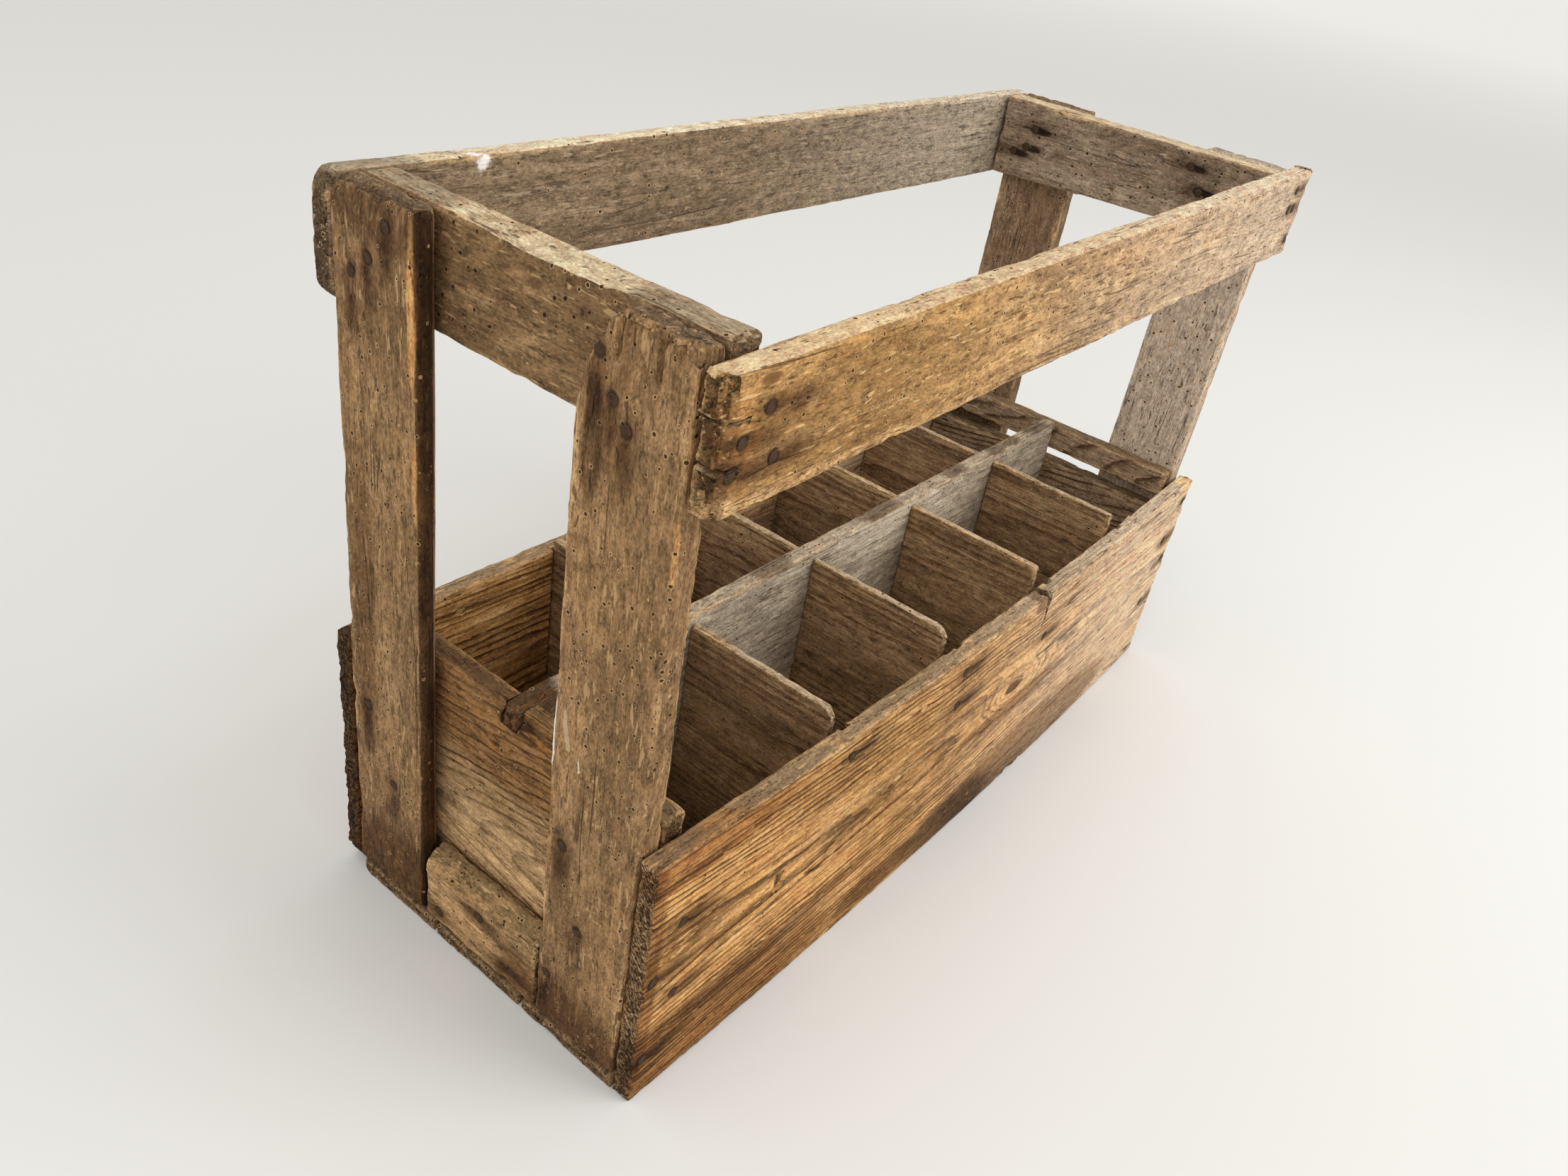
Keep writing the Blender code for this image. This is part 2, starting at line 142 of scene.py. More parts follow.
# %% A finish made by plain calls
class Finish:
    """The nodes of a material or of the world."""

    def __init__(self, owner, shader="Principled BSDF"):
        owner.use_nodes = True
        self.owner = owner
        self.tree = owner.node_tree
        self.shader = self.tree.nodes[shader]

    def plug(self, socket, value):
        if isinstance(value, Shade):
            self.tree.links.new(value.socket, socket)
        else:
            socket.default_value = value

    def feed(self, **values):
        """Set or link inputs of the shader, with _ for each space in their names."""
        for name, value in values.items():
            self.plug(self.shader.inputs[name.replace("_", " ")], value)

    def add(self, kind, settings=None, values=None, out=0):
        node = self.tree.nodes.new(kind)
        for name, value in (settings or {}).items():
            setattr(node, name, value)
        for key, value in (values or {}).items():
            self.plug(node.inputs[key], value)
        return Shade(self, node.outputs[out])

    def sum(self, operation, *values):
        return self.add("ShaderNodeMath", {"operation": operation}, dict(enumerate(values)))

    def vector(self, operation, *values, out=0):
        return self.add("ShaderNodeVectorMath", {"operation": operation}, dict(enumerate(values)), out)

    def place(self, *parts):
        return self.add("ShaderNodeCombineXYZ", None, dict(enumerate(parts)))

    def parts(self, vector):
        first = self.add("ShaderNodeSeparateXYZ", None, {0: vector})
        return [first.out(n) for n in range(3)]

    def ease(self, value, start, stop, low=0.0, high=1.0):
        """A smooth step from low to high while value goes from start to stop."""
        return self.add("ShaderNodeMapRange", {"interpolation_type": "SMOOTHSTEP"},
                        {0: value, 1: start, 2: stop, 3: low, 4: high})

    def blend(self, share, first, second, mode="MIX"):
        return self.add("ShaderNodeMix", {"data_type": "RGBA", "blend_type": mode},
                        {0: share, 6: first, 7: second}, out=2)

    def noise(self, place, detail=3.0, roughness=0.55, scale=1.0):
        return self.add("ShaderNodeTexNoise", None, {"Vector": place, "Scale": scale, "Detail": detail,
                                                     "Roughness": roughness})


print("helpers of a finish:", [name for name in vars(Finish) if not name.startswith("_")])

# %% [markdown]
# ## Colours
#
# We pick colours as they look on a screen, where a mid grey is 128 of 255. Blender works with the
# strength of the light itself, and by that measure the same grey is only about a fifth of white.
# The standard curve between the two makes our numbers easy to compare with the real boards.

# %% Colours as they show on a screen
def paint(red, green, blue):
    """A colour as it shows on a screen, 0 to 255, as Blender's linear colour."""
    parts = [part / 255 for part in (red, green, blue)]
    return (*(p / 12.92 if p <= 0.04045 else ((p + 0.055) / 1.055) ** 2.4 for p in parts), 1.0)


print("a mid grey in linear light:", round(paint(128, 128, 128)[0], 3))

# %% [markdown]
# ## Where a point is in its board
#
# Wood isn't the same in all directions, so every finish first needs to know how far a point lies
# along the grain, across the board and through its thickness. The board's measured box gives its
# middle and half sizes, and its longest side is the way the grain runs. From the same numbers we
# get the distance to the nearest arris: of the three distances to the box's faces, a point on the
# surface has one near zero, and the middle one tells how far the next face is.

# %% Board coordinates
HALF_LENGTH = 0.3205
FRONT_BOW = 0.0065  # how far the front side board bulges at its middle


def bow_at(x):
    return FRONT_BOW * (1 - (x / HALF_LENGTH) ** 2)


def board_axes(low, high):
    """The axes along the grain, across the board and through it, as 0, 1 or 2."""
    size = high - low
    return sorted(range(3), key=lambda n: -size[n])


class Board:
    """The places that a board's finish works with, as sockets."""

    def __init__(self, finish, low, high, bowed):
        middle, half = (low + high) / 2, (high - low) / 2
        self.finish = finish
        self.point = finish.add("ShaderNodeTexCoord", out="Object")
        if bowed:
            x, y, z = finish.parts(self.point)
            self.point = finish.place(x, y + FRONT_BOW * (1 - (x / HALF_LENGTH) ** 2.0), z)
        parts = finish.parts(finish.vector("SUBTRACT", self.point, middle))
        gaps = [half[n] - parts[n].math("ABSOLUTE") for n in range(3)]
        small = gaps[0].math("MINIMUM", gaps[1])
        large = gaps[0].math("MAXIMUM", gaps[1])
        self.arris = small.math("MAXIMUM", large.math("MINIMUM", gaps[2]))
        self.axes = board_axes(low, high)
        self.along, self.across, self.through = (parts[n] for n in self.axes)
        self.x, self.y, self.z = finish.parts(self.point)
        normal = finish.parts(finish.add("ShaderNodeTexCoord", out="Normal"))
        self.end_face = finish.ease(normal[self.axes[0]].math("ABSOLUTE"), 0.6, 0.85)
        self.top_face = finish.ease(normal[2], 0.55, 0.85) * (1 - self.end_face * (self.axes[0] != 2))

    def noise(self, along, across, detail=3.0, roughness=0.55, seed=0.0):
        """Noise with its own number of waves per metre along and across the grain."""
        place = self.finish.place(self.along * along + seed, self.across * across,
                                  self.through * across + seed)
        return self.finish.noise(place, detail, roughness)


print("bow at a quarter of the length, mm:", round(1000 * bow_at(HALF_LENGTH / 2), 2))

# %% [markdown]
# ## Growth rings
#
# A board is a slice through a stack of thin cones round the tree's pith. If we give the pith a
# place behind the board and take each point's distance from it, wide bands in the middle, fine
# lines near the edges and arcs on the end grain all come out by themselves, on every face at
# once. Slow noise makes the trunk sway, and a knot is a spot that pushes the rings aside.

# %% Growth rings
KNOT_STRETCH = 0.42  # a knot disturbs the grain farther along it than across it
KNOT_PUSH, KNOT_REACH = 2.2, 0.28  # how far rings swerve, and how quickly that fades
YEAR_APART = 7.31  # no whole number, so that each year's noise is its own


def growth_rings(board, look, knots, seed):
    """How late in its year the wood grew, 0 to 1, and a mask of the knots' cores."""
    finish = board.finish
    sway = board.noise(3.2, 9.0, 2.0, seed=seed) - 0.5
    ripple = board.noise(14.0, 42.0, 2.0, seed=seed + 5.0) - 0.5
    pith_across, pith_through = look["pith"]
    a = board.across - pith_across + sway * look["sway"]
    b = board.through - pith_through
    radius = (a * a + b * b).math("SQRT") + board.along * look["lean"] + ripple * look["spacing"] * 1.7
    core = None
    for point, size in knots:
        away = finish.parts(finish.vector("SUBTRACT", board.point, point))
        u, v = away[board.axes[0]] * KNOT_STRETCH, away[board.axes[1]]
        apart = (u * u + v * v) / (size * size)
        radius = radius + (apart * -KNOT_REACH).math("EXPONENT") * size * KNOT_PUSH
        spot = finish.ease(apart + ripple * 0.7, 0.55, 0.16)
        core = spot if core is None else core.math("MAXIMUM", spot)
    ring = radius / look["spacing"]
    turn = ring.math("FRACT")
    year = finish.noise(finish.place(ring.math("FLOOR") * YEAR_APART, board.along * 3.0, seed), 1.0)
    late = finish.ease(turn, look["late_from"], 0.92) * finish.ease(turn, 1.0, 0.95)
    return late * finish.ease(year, 0.30, 0.62, 0.1, 1.0), core


print("a 10 mm knot pushes the rings aside by, mm:", 10 * KNOT_PUSH)

# %% [markdown]
# ## Iron stains
#
# Iron blackens damp wood. Round each nail sits a dark ring, and from it a streak creeps along the
# grain, farther than it spreads across. Painting each stain by hand would tie it to one board, so
# we measure every point's distance to the nearest nail, in a space that is squeezed along the
# grain, and send it through a smooth step roughened by noise. The result is a mask from 0 to 1.

# %% Iron stains
STREAK, RING = 0.0100, 0.0046  # how far a stain and the black ring reach from a nail
STREAK_SQUEEZE = 0.30  # along the grain


def nearest(board, spots, stretch):
    """Distance to the nearest of some places, in a space that is squeezed along each axis."""
    near = None
    squeezed = board.finish.vector("MULTIPLY", board.point, stretch)
    for spot in spots:
        place = [a * b for a, b in zip(spot, stretch)]
        apart = board.finish.vector("DISTANCE", squeezed, place, out="Value")
        near = apart if near is None else near.math("MINIMUM", apart)
    return near


def iron_stain(board, nails, rough):
    """The dark streak along the grain at each nail, and the black ring where the head sits."""
    along, _, through = board.axes
    streak = [1.0, 1.0, 1.0]
    streak[along], streak[through] = STREAK_SQUEEZE, 0.7
    run = Vector((0.009 if along == 0 else 0.0, 0, -0.012 if along == 2 else 0.0))
    halo = nearest(board, [Vector(nail) + run for nail in nails], streak)
    ring = nearest(board, nails, [1.0, 1.0, 1.0])
    return (board.finish.ease(halo + (rough - 0.5) * 0.022, STREAK, 0.0005),
            board.finish.ease(ring + (rough - 0.5) * 0.0030, RING, 0.0030))


print("an iron stain reaches along the grain by, mm:", round(1000 * STREAK / STREAK_SQUEEZE))

# %% [markdown]
# ## Woodworm
#
# Woodworm leaves round flight holes of a pin's width, in loose groups, and a fresh one has a pale
# rim. Hundreds of holes as geometry would cost many faces, so they are a pattern: the board is
# cut into cells of a few millimetres with one point in each, the distance to it draws the hole,
# and the cell's random colour decides whether it has a hole, how wide, and how pale its rim is.

# %% Woodworm holes
WORM_CELL = 0.0054
HOLE, HOLE_SPREAD = 0.00062, 0.00042  # smallest radius, and how much more it may be


def wormholes(board, amount, seed):
    """Round flight holes and their pale rims."""
    finish = board.finish
    point = finish.place(board.along / WORM_CELL, board.across / WORM_CELL + seed, board.through / WORM_CELL)
    cells = finish.add("ShaderNodeTexVoronoi", None, {"Vector": point, "Scale": 1.0}, out="Distance")
    apart = cells * WORM_CELL
    luck = finish.parts(cells.out("Color"))
    group = board.noise(16.0, 26.0, 1.0, seed=seed + 9.0)
    gate = finish.ease(luck[1] + (group - 0.5) * 1.3, 1.03 - 0.4 * amount, 1.04 - 0.4 * amount)
    size = HOLE + luck[0] * HOLE_SPREAD
    # This mask is later painted near-black, as the shade inside the hole.
    hole = finish.ease(apart, size, size * 0.82) * gate
    rim = finish.ease(apart, size * 1.6, size * 1.15) * gate * finish.ease(luck[2], 0.35, 0.6)
    return hole, rim


print(f"flight holes, mm wide: {2000 * HOLE:.1f} to {2000 * (HOLE + HOLE_SPREAD):.1f}")

# %% [markdown]
# ## Cracks and spots
#
# Drying opens hair cracks along the grain. They come from a noise that is stretched far along the
# board: where it crosses its middle value, it draws a thin wandering line. The large cracks,
# scratches and blotches of the real crate are in known places, so each of those is measured from
# a line between two points, or from the middle of an oval, with a ragged rim.

# %% Hair cracks, crack lines and oval spots
def drying_cracks(board, seed):
    """Hair cracks along the grain, where a stretched noise crosses its middle value."""
    field = board.noise(4.0, 105.0, 1.0, seed=seed + 2.0) - 0.5
    here = board.finish.ease(board.noise(12.0, 40.0, 1.0, seed=seed), 0.56, 0.64)
    return board.finish.ease(field.math("ABSOLUTE"), 0.011, 0.003) * here


def crack_line(board, start, stop, width, rough):
    """A crack of a given width between two places."""
    finish = board.finish
    start, span = Vector(start), Vector(stop) - Vector(start)
    away = finish.vector("SUBTRACT", board.point, start)
    share = finish.vector("DOT_PRODUCT", away, span, out="Value")
    share = share / span.length_squared + (rough - 0.5) * 0.04
    share = share.math("MAXIMUM", 0.0).math("MINIMUM", 1.0)
    foot = finish.add("ShaderNodeVectorMath", {"operation": "SCALE"}, {0: span, "Scale": share})
    apart = finish.vector("DISTANCE", away, foot, out="Value")
    return finish.ease(apart + (rough - 0.5) * 1.4 * width, width, width * 0.4)


SPOT_RIM = (1.10, 0.70)  # where a spot starts and where it is full, as shares of its radii


def soft_spot(board, centre, radii, rough):
    """An oval spot with a ragged rim."""
    away = board.finish.vector("SUBTRACT", board.point, centre)
    away = board.finish.vector("DIVIDE", away, radii)
    apart = board.finish.vector("LENGTH", away, out="Value")
    return board.finish.ease(apart + (rough - 0.5) * 1.1, *SPOT_RIM)


print("a spot is full inside this share of its size:", SPOT_RIM[1])

# %% [markdown]
# ## One board's coats
#
# The finish is built like a painter's coats: each one covers what is there as strongly as a mask
# says. The masks need noises of many sizes, from blotches as wide as a hand to grit as fine as
# dust, and most of them are stretched along the grain. All boards share one table of them, and
# the seed gives each board its own pattern.

# %% The noises and the coats
GRAINS = {  # waves per metre along and across the grain, detail, roughness, and the seed's shift
    "fibre": (30.0, 640.0, 4.0, 0.68, 0.0),
    "streak": (7.0, 130.0, 3.0, 0.6, 3.0),
    "broad": (5.0, 17.0, 3.0, 0.55, 0.0),
    "patch": (26.0, 44.0, 4.0, 0.6, 1.0),
    "smear": (3.5, 42.0, 4.0, 0.6, 8.0),
    "speck": (230.0, 360.0, 3.0, 0.7, 0.0),
    "mottle": (110.0, 210.0, 4.0, 0.68, 4.0),
    "grit": (480.0, 900.0, 2.0, 0.7, 6.0),
    "nick": (85.0, 430.0, 2.0, 0.5, 7.0),
}


class Wood:
    """One board's finish: its places, its noises, and its colour so far."""

    def __init__(self, name, low, high, bowed, look, seed):
        self.finish = Finish(bpy.data.materials.new(name))
        self.board = Board(self.finish, low, high, bowed)
        self.look = look
        self.dirt, self.worn = paint(*look["dirt"]), paint(*look["worn"])
        for kind, (along, across, detail, roughness, shift) in GRAINS.items():
            setattr(self, kind, self.board.noise(along, across, detail, roughness, seed + shift))
        self.nick = self.nick + (self.patch - 0.5) * 0.35
        self.colour = None

    def coat(self, share, shade):
        """Lay a colour over the coats so far."""
        self.colour = self.finish.blend(share, self.colour, shade)

    def stain(self, share, shade):
        """Darken the coats so far, as a stain does, with their grain left visible."""
        self.coat(share, self.finish.blend(1.0, self.colour, paint(*shade), "MULTIPLY"))


print("noises of a board:", len(GRAINS))

# %% [markdown]
# ## Bare and weathered wood
#
# On the real boards the dark late wood of each year is only the start. Years of handling and of
# damp cellars have left patina in broad blotches, dirt in the open pores, and pale worn fibres
# between them. Each of these is one row of a small table: which noise, from where to where, how
# strong, and in which colour.

# %% Grain, patina and grime
GRAIN_COATS = (  # a noise, where the coat starts and is full, its strength in the look, a share, a colour
    ("broad", 0.36, 0.60, "patina", 1.0, "dirt"),
    ("patch", 0.48, 0.28, "glow", 1.0, "worn"),
    ("streak", 0.52, 0.70, "streaks", 1.0, "dirt"),
    ("streak", 0.46, 0.30, "streaks", 0.8, "worn"),
    ("fibre", 0.50, 0.72, "fibre", 1.0, "dirt"),
    ("fibre", 0.46, 0.28, "fibre", 0.8, "worn"),
    ("patch", 0.54, 0.74, "grime", 1.0, "dirt"),
    ("smear", 0.52, 0.66, "smear", 1.0, "dirt"),
)


def lay_grain(wood, late):
    """Early and late wood, and the coats that follow its grain."""
    look = wood.look
    wood.colour = wood.finish.blend(late * look["contrast"], paint(*look["early"]), paint(*look["late"]))
    for noise, start, full, strength, share, shade in GRAIN_COATS:
        area = wood.finish.ease(getattr(wood, noise), start, full)
        wood.coat(area * (look[strength] * share), getattr(wood, shade))


print("coats of grain and dirt:", len(GRAIN_COATS))

# %% [markdown]
# ## Faces and arrises
#
# The faces of a board age in their own ways. End grain is rough and dark, and the near end of the
# front board still has the saw's slanting lines. What faces up has gone grey, and on the rails that
# top colour is a pale cream, which is a painted highlight of the light on their tops. The arrises
# are rubbed to bare wood, or chipped and dirty, and every board is darker towards the floor. Boards
# at the far side, where the light comes in, are painted paler and greyer along their length: a
# painted haze of that light.

# %% Ends, tops and arrises
SAW_LINES = 1900.0  # radians per metre across the sawn end


def lay_faces(wood):
    """Coats for each kind of face. Returns the mask of the saw's lines."""
    finish, board, look = wood.finish, wood.board, wood.look
    end_dirt = paint(*look["end_dirt"])
    end_wood = finish.blend(finish.ease(wood.speck, 0.40, 0.62), paint(*look["end"]), end_dirt)
    wood.coat(board.end_face * 0.9, end_wood)
    slant = board.across - board.through * 1.5
    saw = finish.ease((slant * SAW_LINES + wood.patch * 7.0).math("SINE"), -0.2, 0.6)
    wood.coat(board.end_face * saw * look["sawn_end"], end_dirt)
    # Tops: weathered grey on most boards; on the rails a pale cream, which is a painted highlight.
    wood.coat(board.top_face * finish.ease(wood.patch, 0.24, 0.44) * look["grey_share"],
              finish.blend(finish.ease(wood.fibre, 0.35, 0.65) * 0.6,
                           paint(*look["grey"]), paint(*look["grey_dark"])))
    rubbed = finish.ease(board.arris + (wood.patch - 0.5) * 0.012, 0.0040, 0.0002)
    wood.coat(rubbed * look["rubbed"], paint(*look["bare"]))
    chipped = finish.ease(board.arris + (wood.speck - 0.5) * 0.010, 0.0040, 0.0012)
    chipped = chipped * (1 - board.end_face * 0.6) * finish.ease(wood.speck, 0.50, 0.58)
    wood.coat(chipped * 0.65, wood.dirt)
    # Darker towards the floor.
    wood.coat(finish.ease(board.z + (wood.patch - 0.5) * 0.05, 0.035, 0.0) * look["damp"], wood.dirt)
    # Painted haze: paler and greyer towards the far end, for the light that comes in there.
    if "bleach" in look:
        wood.coat(finish.ease(board.x, *look["bleach_span"]) * look["bleach_share"], paint(*look["bleach"]))
    return saw


print("saw lines on an end, mm apart:", round(1000 * 2 * math.pi / SAW_LINES, 1))

# %% [markdown]
# ## Marks
#
# What makes this crate this crate are its own marks: a pale torn strip on one post, a burnt-dark
# corner, a white smear, scratches. Each board has a short list of them with their places. An
# opaque spot would look like paint on glass, so a spot is first mixed with the fine tone of the
# wood, and a tint only multiplies what is below it.

# %% Tone, spots, tints and scratches
FLECK = (230, 204, 168)


def lay_spots(wood, marks):
    """The fine tone of the wood, spots and tints in known places, and small nicks all over."""
    finish, look, board = wood.finish, wood.look, wood.board
    tone = (0.53 + (wood.fibre - 0.5) * look["fibre"] * 2.0 + (wood.mottle - 0.5) * look["mottle"]
            + (wood.grit - 0.5) * (1.1 + board.end_face * 0.5))
    wood.colour = finish.blend(1.0, wood.colour, tone, "OVERLAY")
    for centre, radii, shade, share in marks.get("spots", ()):
        area = soft_spot(board, centre, radii, wood.streak * 0.6 + wood.speck * 0.4)
        wood.coat(area * share, finish.blend(1.0, paint(*shade), tone, "OVERLAY"))
    wood.coat(finish.ease(wood.nick, 0.63, 0.70) * look["nicks"], wood.worn)
    wood.coat(finish.ease(wood.nick, 0.37, 0.30) * look["nicks"], wood.dirt)
    for centre, radii, shade, share in marks.get("tints", ()):
        wood.stain(soft_spot(board, centre, radii, wood.streak * 0.6 + wood.patch * 0.4) * share, shade)


def lay_scratches(wood, marks):
    """Scratches, pale flecks and dark grit."""
    for start, stop, width, shade, share in marks.get("scratches", ()):
        wood.coat(crack_line(wood.board, start, stop, width, wood.speck) * share, paint(*shade))
    fleck = wood.grit + (wood.speck - 0.5) * 0.5
    wood.coat(wood.finish.ease(fleck, 0.74, 0.80) * wood.look["flecks"], paint(*FLECK))
    pit = wood.grit - (wood.speck - 0.5) * 0.5
    wood.coat(wood.finish.ease(pit, 0.27, 0.22) * 0.5, wood.dirt)


print("a pale fleck in linear light:", [round(part, 2) for part in paint(*FLECK)[:3]])

# %% [markdown]
# ## The whole finish
#
# Last come the things that go into the wood: wormholes, cracks, knots and iron. Cracks and holes
# are painted near-black, a painted shade of their depth, and the same masks lower the surface in
# the bump, so a hole looks deep from every side.
# Only colour, roughness and bump change over the surface, and all else is set once. Every board
# gets its own finish, because its box, nails and knots are its own.

# %% The wood finish
# The second colour is painted shade, for the inside of cracks and holes.
HEAD_BLACK, CRACK_AND_HOLE_SHADE = (38, 27, 18), (30, 20, 13)
CRACK_DEPTH, HOLE_DEPTH = 1.6, 2.2  # as shares of the bump's distance
BUMP = 0.0014


def wood_finish(name, low, high, look, seed, marks, nails, bowed=False):
    wood = Wood(name, low, high, bowed, look, seed)
    finish, board = wood.finish, wood.board
    late, core = growth_rings(board, look, marks.get("knots", ()), seed)
    lay_grain(wood, late)
    saw = lay_faces(wood)
    lay_spots(wood, marks)
    crack = drying_cracks(board, seed) * look["cracks"]
    for start, stop, width in marks.get("cracks", ()):
        crack = crack.math("MAXIMUM", crack_line(board, start, stop, width, wood.speck))
    hole, rim = wormholes(board, look["worm"], seed)
    wood.coat(rim * 0.6, paint(*look["bare"]))
    lay_scratches(wood, marks)
    height = (0.5 * late * look["contrast"] + 0.6 * wood.fibre + 0.4 * wood.streak * look["streaks"]
              + 0.35 * wood.mottle + 0.3 * wood.grit + 0.5 * wood.speck * board.end_face
              + saw * board.end_face * look["sawn_end"] - CRACK_DEPTH * crack - HOLE_DEPTH * hole)
    if core is not None:
        wood.coat(core * 0.85, finish.blend(wood.patch, wood.dirt, paint(*look["late"])))
    if nails:
        halo, seat = iron_stain(board, nails, wood.patch * 0.6 + wood.streak * 0.4)
        wood.stain(halo * 0.8, look["stain"])
        wood.coat(seat * 0.75, paint(*HEAD_BLACK))
        height = height - 0.4 * seat
    # Painted shade: cracks and wormholes near-black, for their depth.
    wood.coat(crack.math("MAXIMUM", hole) * 0.92, paint(*CRACK_AND_HOLE_SHADE))
    bump = finish.add("ShaderNodeBump", None, {"Strength": 1.0, "Distance": BUMP, "Height": height})
    finish.feed(Base_Color=wood.colour, Roughness=0.72 + 0.2 * wood.patch + 0.05 * board.end_face,
                Specular_IOR_Level=0.12, Normal=bump)
    return finish.owner


print("a wormhole looks this deep, mm:", round(1000 * BUMP * HOLE_DEPTH, 1))

# %% [markdown]
# ## Looks
#
# The posts and rails are hardwood with little figure, the sides and ends are pine with bold
# rings, and the thin dividers are somewhere between. A look is a set of colours and strengths,
# and most are a change or two from another one, so each starts from the nearest look and names
# only what differs. The pith's place is across and through the board.

# %% Looks of the posts and the battens
BASE = {"pith": (0.0, 0.035), "sway": 0.006, "lean": 0.02, "sawn_end": 0.0, "stain": (112, 88, 70),
        "bare": (214, 174, 124), "grey_dark": (96, 80, 60), "end_dirt": (60, 43, 27), "damp": 0.5,
        "mottle": 0.95, "flecks": 0.7, "nicks": 0.6, "smear": 0.25, "late_from": 0.38}
POST = {**BASE, "early": (157, 122, 83), "late": (131, 99, 67), "dirt": (89, 67, 46), "worn": (188, 153, 110),
        "grey": (126, 104, 78), "grey_dark": (78, 62, 46), "end": (124, 98, 68), "spacing": 0.0040,
        "contrast": 0.25, "patina": 0.42, "glow": 0.45, "streaks": 0.35, "fibre": 0.5, "grime": 0.45,
        "grey_share": 0.85, "rubbed": 0.5, "cracks": 0.5, "worm": 1.8, "mottle": 1.15, "nicks": 0.8,
        "smear": 0.35}
BATTEN = {**POST, "early": (180, 143, 98), "late": (150, 117, 77), "worn": (208, 174, 126),
          "dirt": (90, 69, 45), "grey": (146, 120, 84), "damp": 0.3}
# The far front post is painted paler and flatter: a painted haze.
FAR_POST = {**POST, "mottle": 0.8, "fibre": 0.4, "streaks": 0.2, "bleach": (208, 192, 172),
            "bleach_span": (0.332, 0.300), "bleach_share": 0.68}
FAR_BACK = {**POST, "early": (138, 112, 86), "late": (112, 89, 66), "worn": (170, 144, 114)}
print("strengths and colours of a post:", len(POST))

# %% Looks of the rails
# The rails' pale top colours are a painted highlight, and their paler far ends a painted haze.
RAIL = {**POST, "early": (192, 148, 92), "late": (134, 94, 52), "dirt": (94, 64, 34), "worn": (222, 184, 130),
        "grey": (222, 196, 156), "grey_dark": (160, 128, 90), "end": (104, 78, 48), "end_dirt": (46, 32, 20),
        "spacing": 0.0046, "contrast": 0.45, "patina": 0.5, "glow": 0.45, "streaks": 0.5, "grime": 0.45,
        "worm": 1.0, "grey_share": 0.9, "bleach": (222, 206, 188), "bleach_span": (-0.22, 0.28),
        "bleach_share": 0.44}
END_RAIL = {**POST, "early": (132, 103, 70), "late": (108, 81, 53), "grey": (228, 208, 172),
            "grey_dark": (124, 98, 68), "grey_share": 0.9, "worm": 1.4, "streaks": 0.35}
# The far rail's paler, greyer colours are a painted haze.
FAR_RAIL = {**END_RAIL, "early": (162, 142, 120), "late": (134, 114, 94), "worn": (190, 172, 148)}
BACK_RAIL = {**POST, "early": (142, 121, 94), "late": (110, 90, 66), "dirt": (94, 78, 58),
             "worn": (176, 156, 128), "grey": (232, 216, 186), "grey_dark": (170, 144, 112),
             "end": (84, 66, 44), "grey_share": 0.95, "worm": 0.85, "cracks": 0.3, "streaks": 0.4,
             "bleach": (190, 178, 160), "bleach_span": (-0.1, 0.34), "bleach_share": 0.55}
# Shares of the painted haze at the rails' far ends.
print("how much the rails bleach at their far end:", RAIL["bleach_share"], BACK_RAIL["bleach_share"])

# %% Looks of the sides and the ends
# Towards their far ends the sides are painted paler: a painted haze.
PINE = {**BASE, "early": (216, 162, 98), "late": (66, 36, 10), "dirt": (88, 56, 27), "worn": (240, 194, 132),
        "grey": (164, 138, 106), "grey_dark": (90, 72, 52), "end": (214, 190, 152), "end_dirt": (76, 57, 38),
        "stain": (74, 54, 38), "pith": (0.012, 0.034), "sway": 0.010, "spacing": 0.0031, "contrast": 1.0,
        "patina": 0.4, "glow": 0.35, "streaks": 0.7, "fibre": 0.8, "grime": 0.4, "grey_share": 0.92,
        "rubbed": 0.5, "cracks": 0.8, "worm": 0.3, "sawn_end": 0.75, "smear": 0.55, "bleach": (236, 216, 190),
        "bleach_span": (-0.12, 0.28), "bleach_share": 0.45, "mottle": 0.8, "damp": 0.25}
END = {**BASE, "early": (196, 158, 110), "late": (76, 46, 22), "dirt": (74, 52, 31), "worn": (204, 170, 126),
       "grey": (134, 110, 80), "grey_dark": (74, 58, 40), "end": (118, 92, 62), "pith": (-0.012, 0.045),
       "late_from": 0.58, "sway": 0.032, "lean": 0.12, "spacing": 0.0042, "contrast": 1.0,
       "patina": 0.4, "glow": 0.3, "streaks": 0.6, "fibre": 0.8, "grime": 0.4, "grey_share": 0.85,
       "rubbed": 0.45, "cracks": 0.7, "worm": 0.9}
INNER_END_WOOD = {**END, "early": (172, 144, 114), "worn": (196, 170, 138), "dirt": (74, 58, 43)}
print("width of a year in the sides and the ends, mm:", 1000 * PINE["spacing"], 1000 * END["spacing"])

# %% Looks of the dividers and the floor
DIVIDER = {**BASE, "early": (180, 146, 106), "late": (98, 70, 42), "dirt": (76, 55, 35),
           "worn": (204, 174, 134), "grey": (196, 178, 150), "grey_dark": (124, 102, 78),
           "end": (180, 158, 126), "spacing": 0.0034, "pith": (0.03, 0.05), "contrast": 0.7,
           "patina": 0.4, "glow": 0.3, "streaks": 0.5, "fibre": 0.7, "grime": 0.4, "grey_share": 0.95,
           "rubbed": 0.5, "cracks": 0.4, "worm": 0.5, "damp": 0.7}
CENTRE = {**DIVIDER, "early": (226, 212, 188), "late": (186, 168, 142), "dirt": (112, 94, 74),
          "worn": (230, 216, 190), "grey": (170, 152, 128), "grey_dark": (76, 60, 45), "contrast": 0.4,
          "patina": 0.6, "grime": 0.6, "mottle": 1.0}
FLOOR = {**POST, "early": (150, 120, 86), "late": (104, 78, 54), "dirt": (58, 44, 31), "grey": (114, 94, 70),
         "grey_dark": (70, 54, 38)}
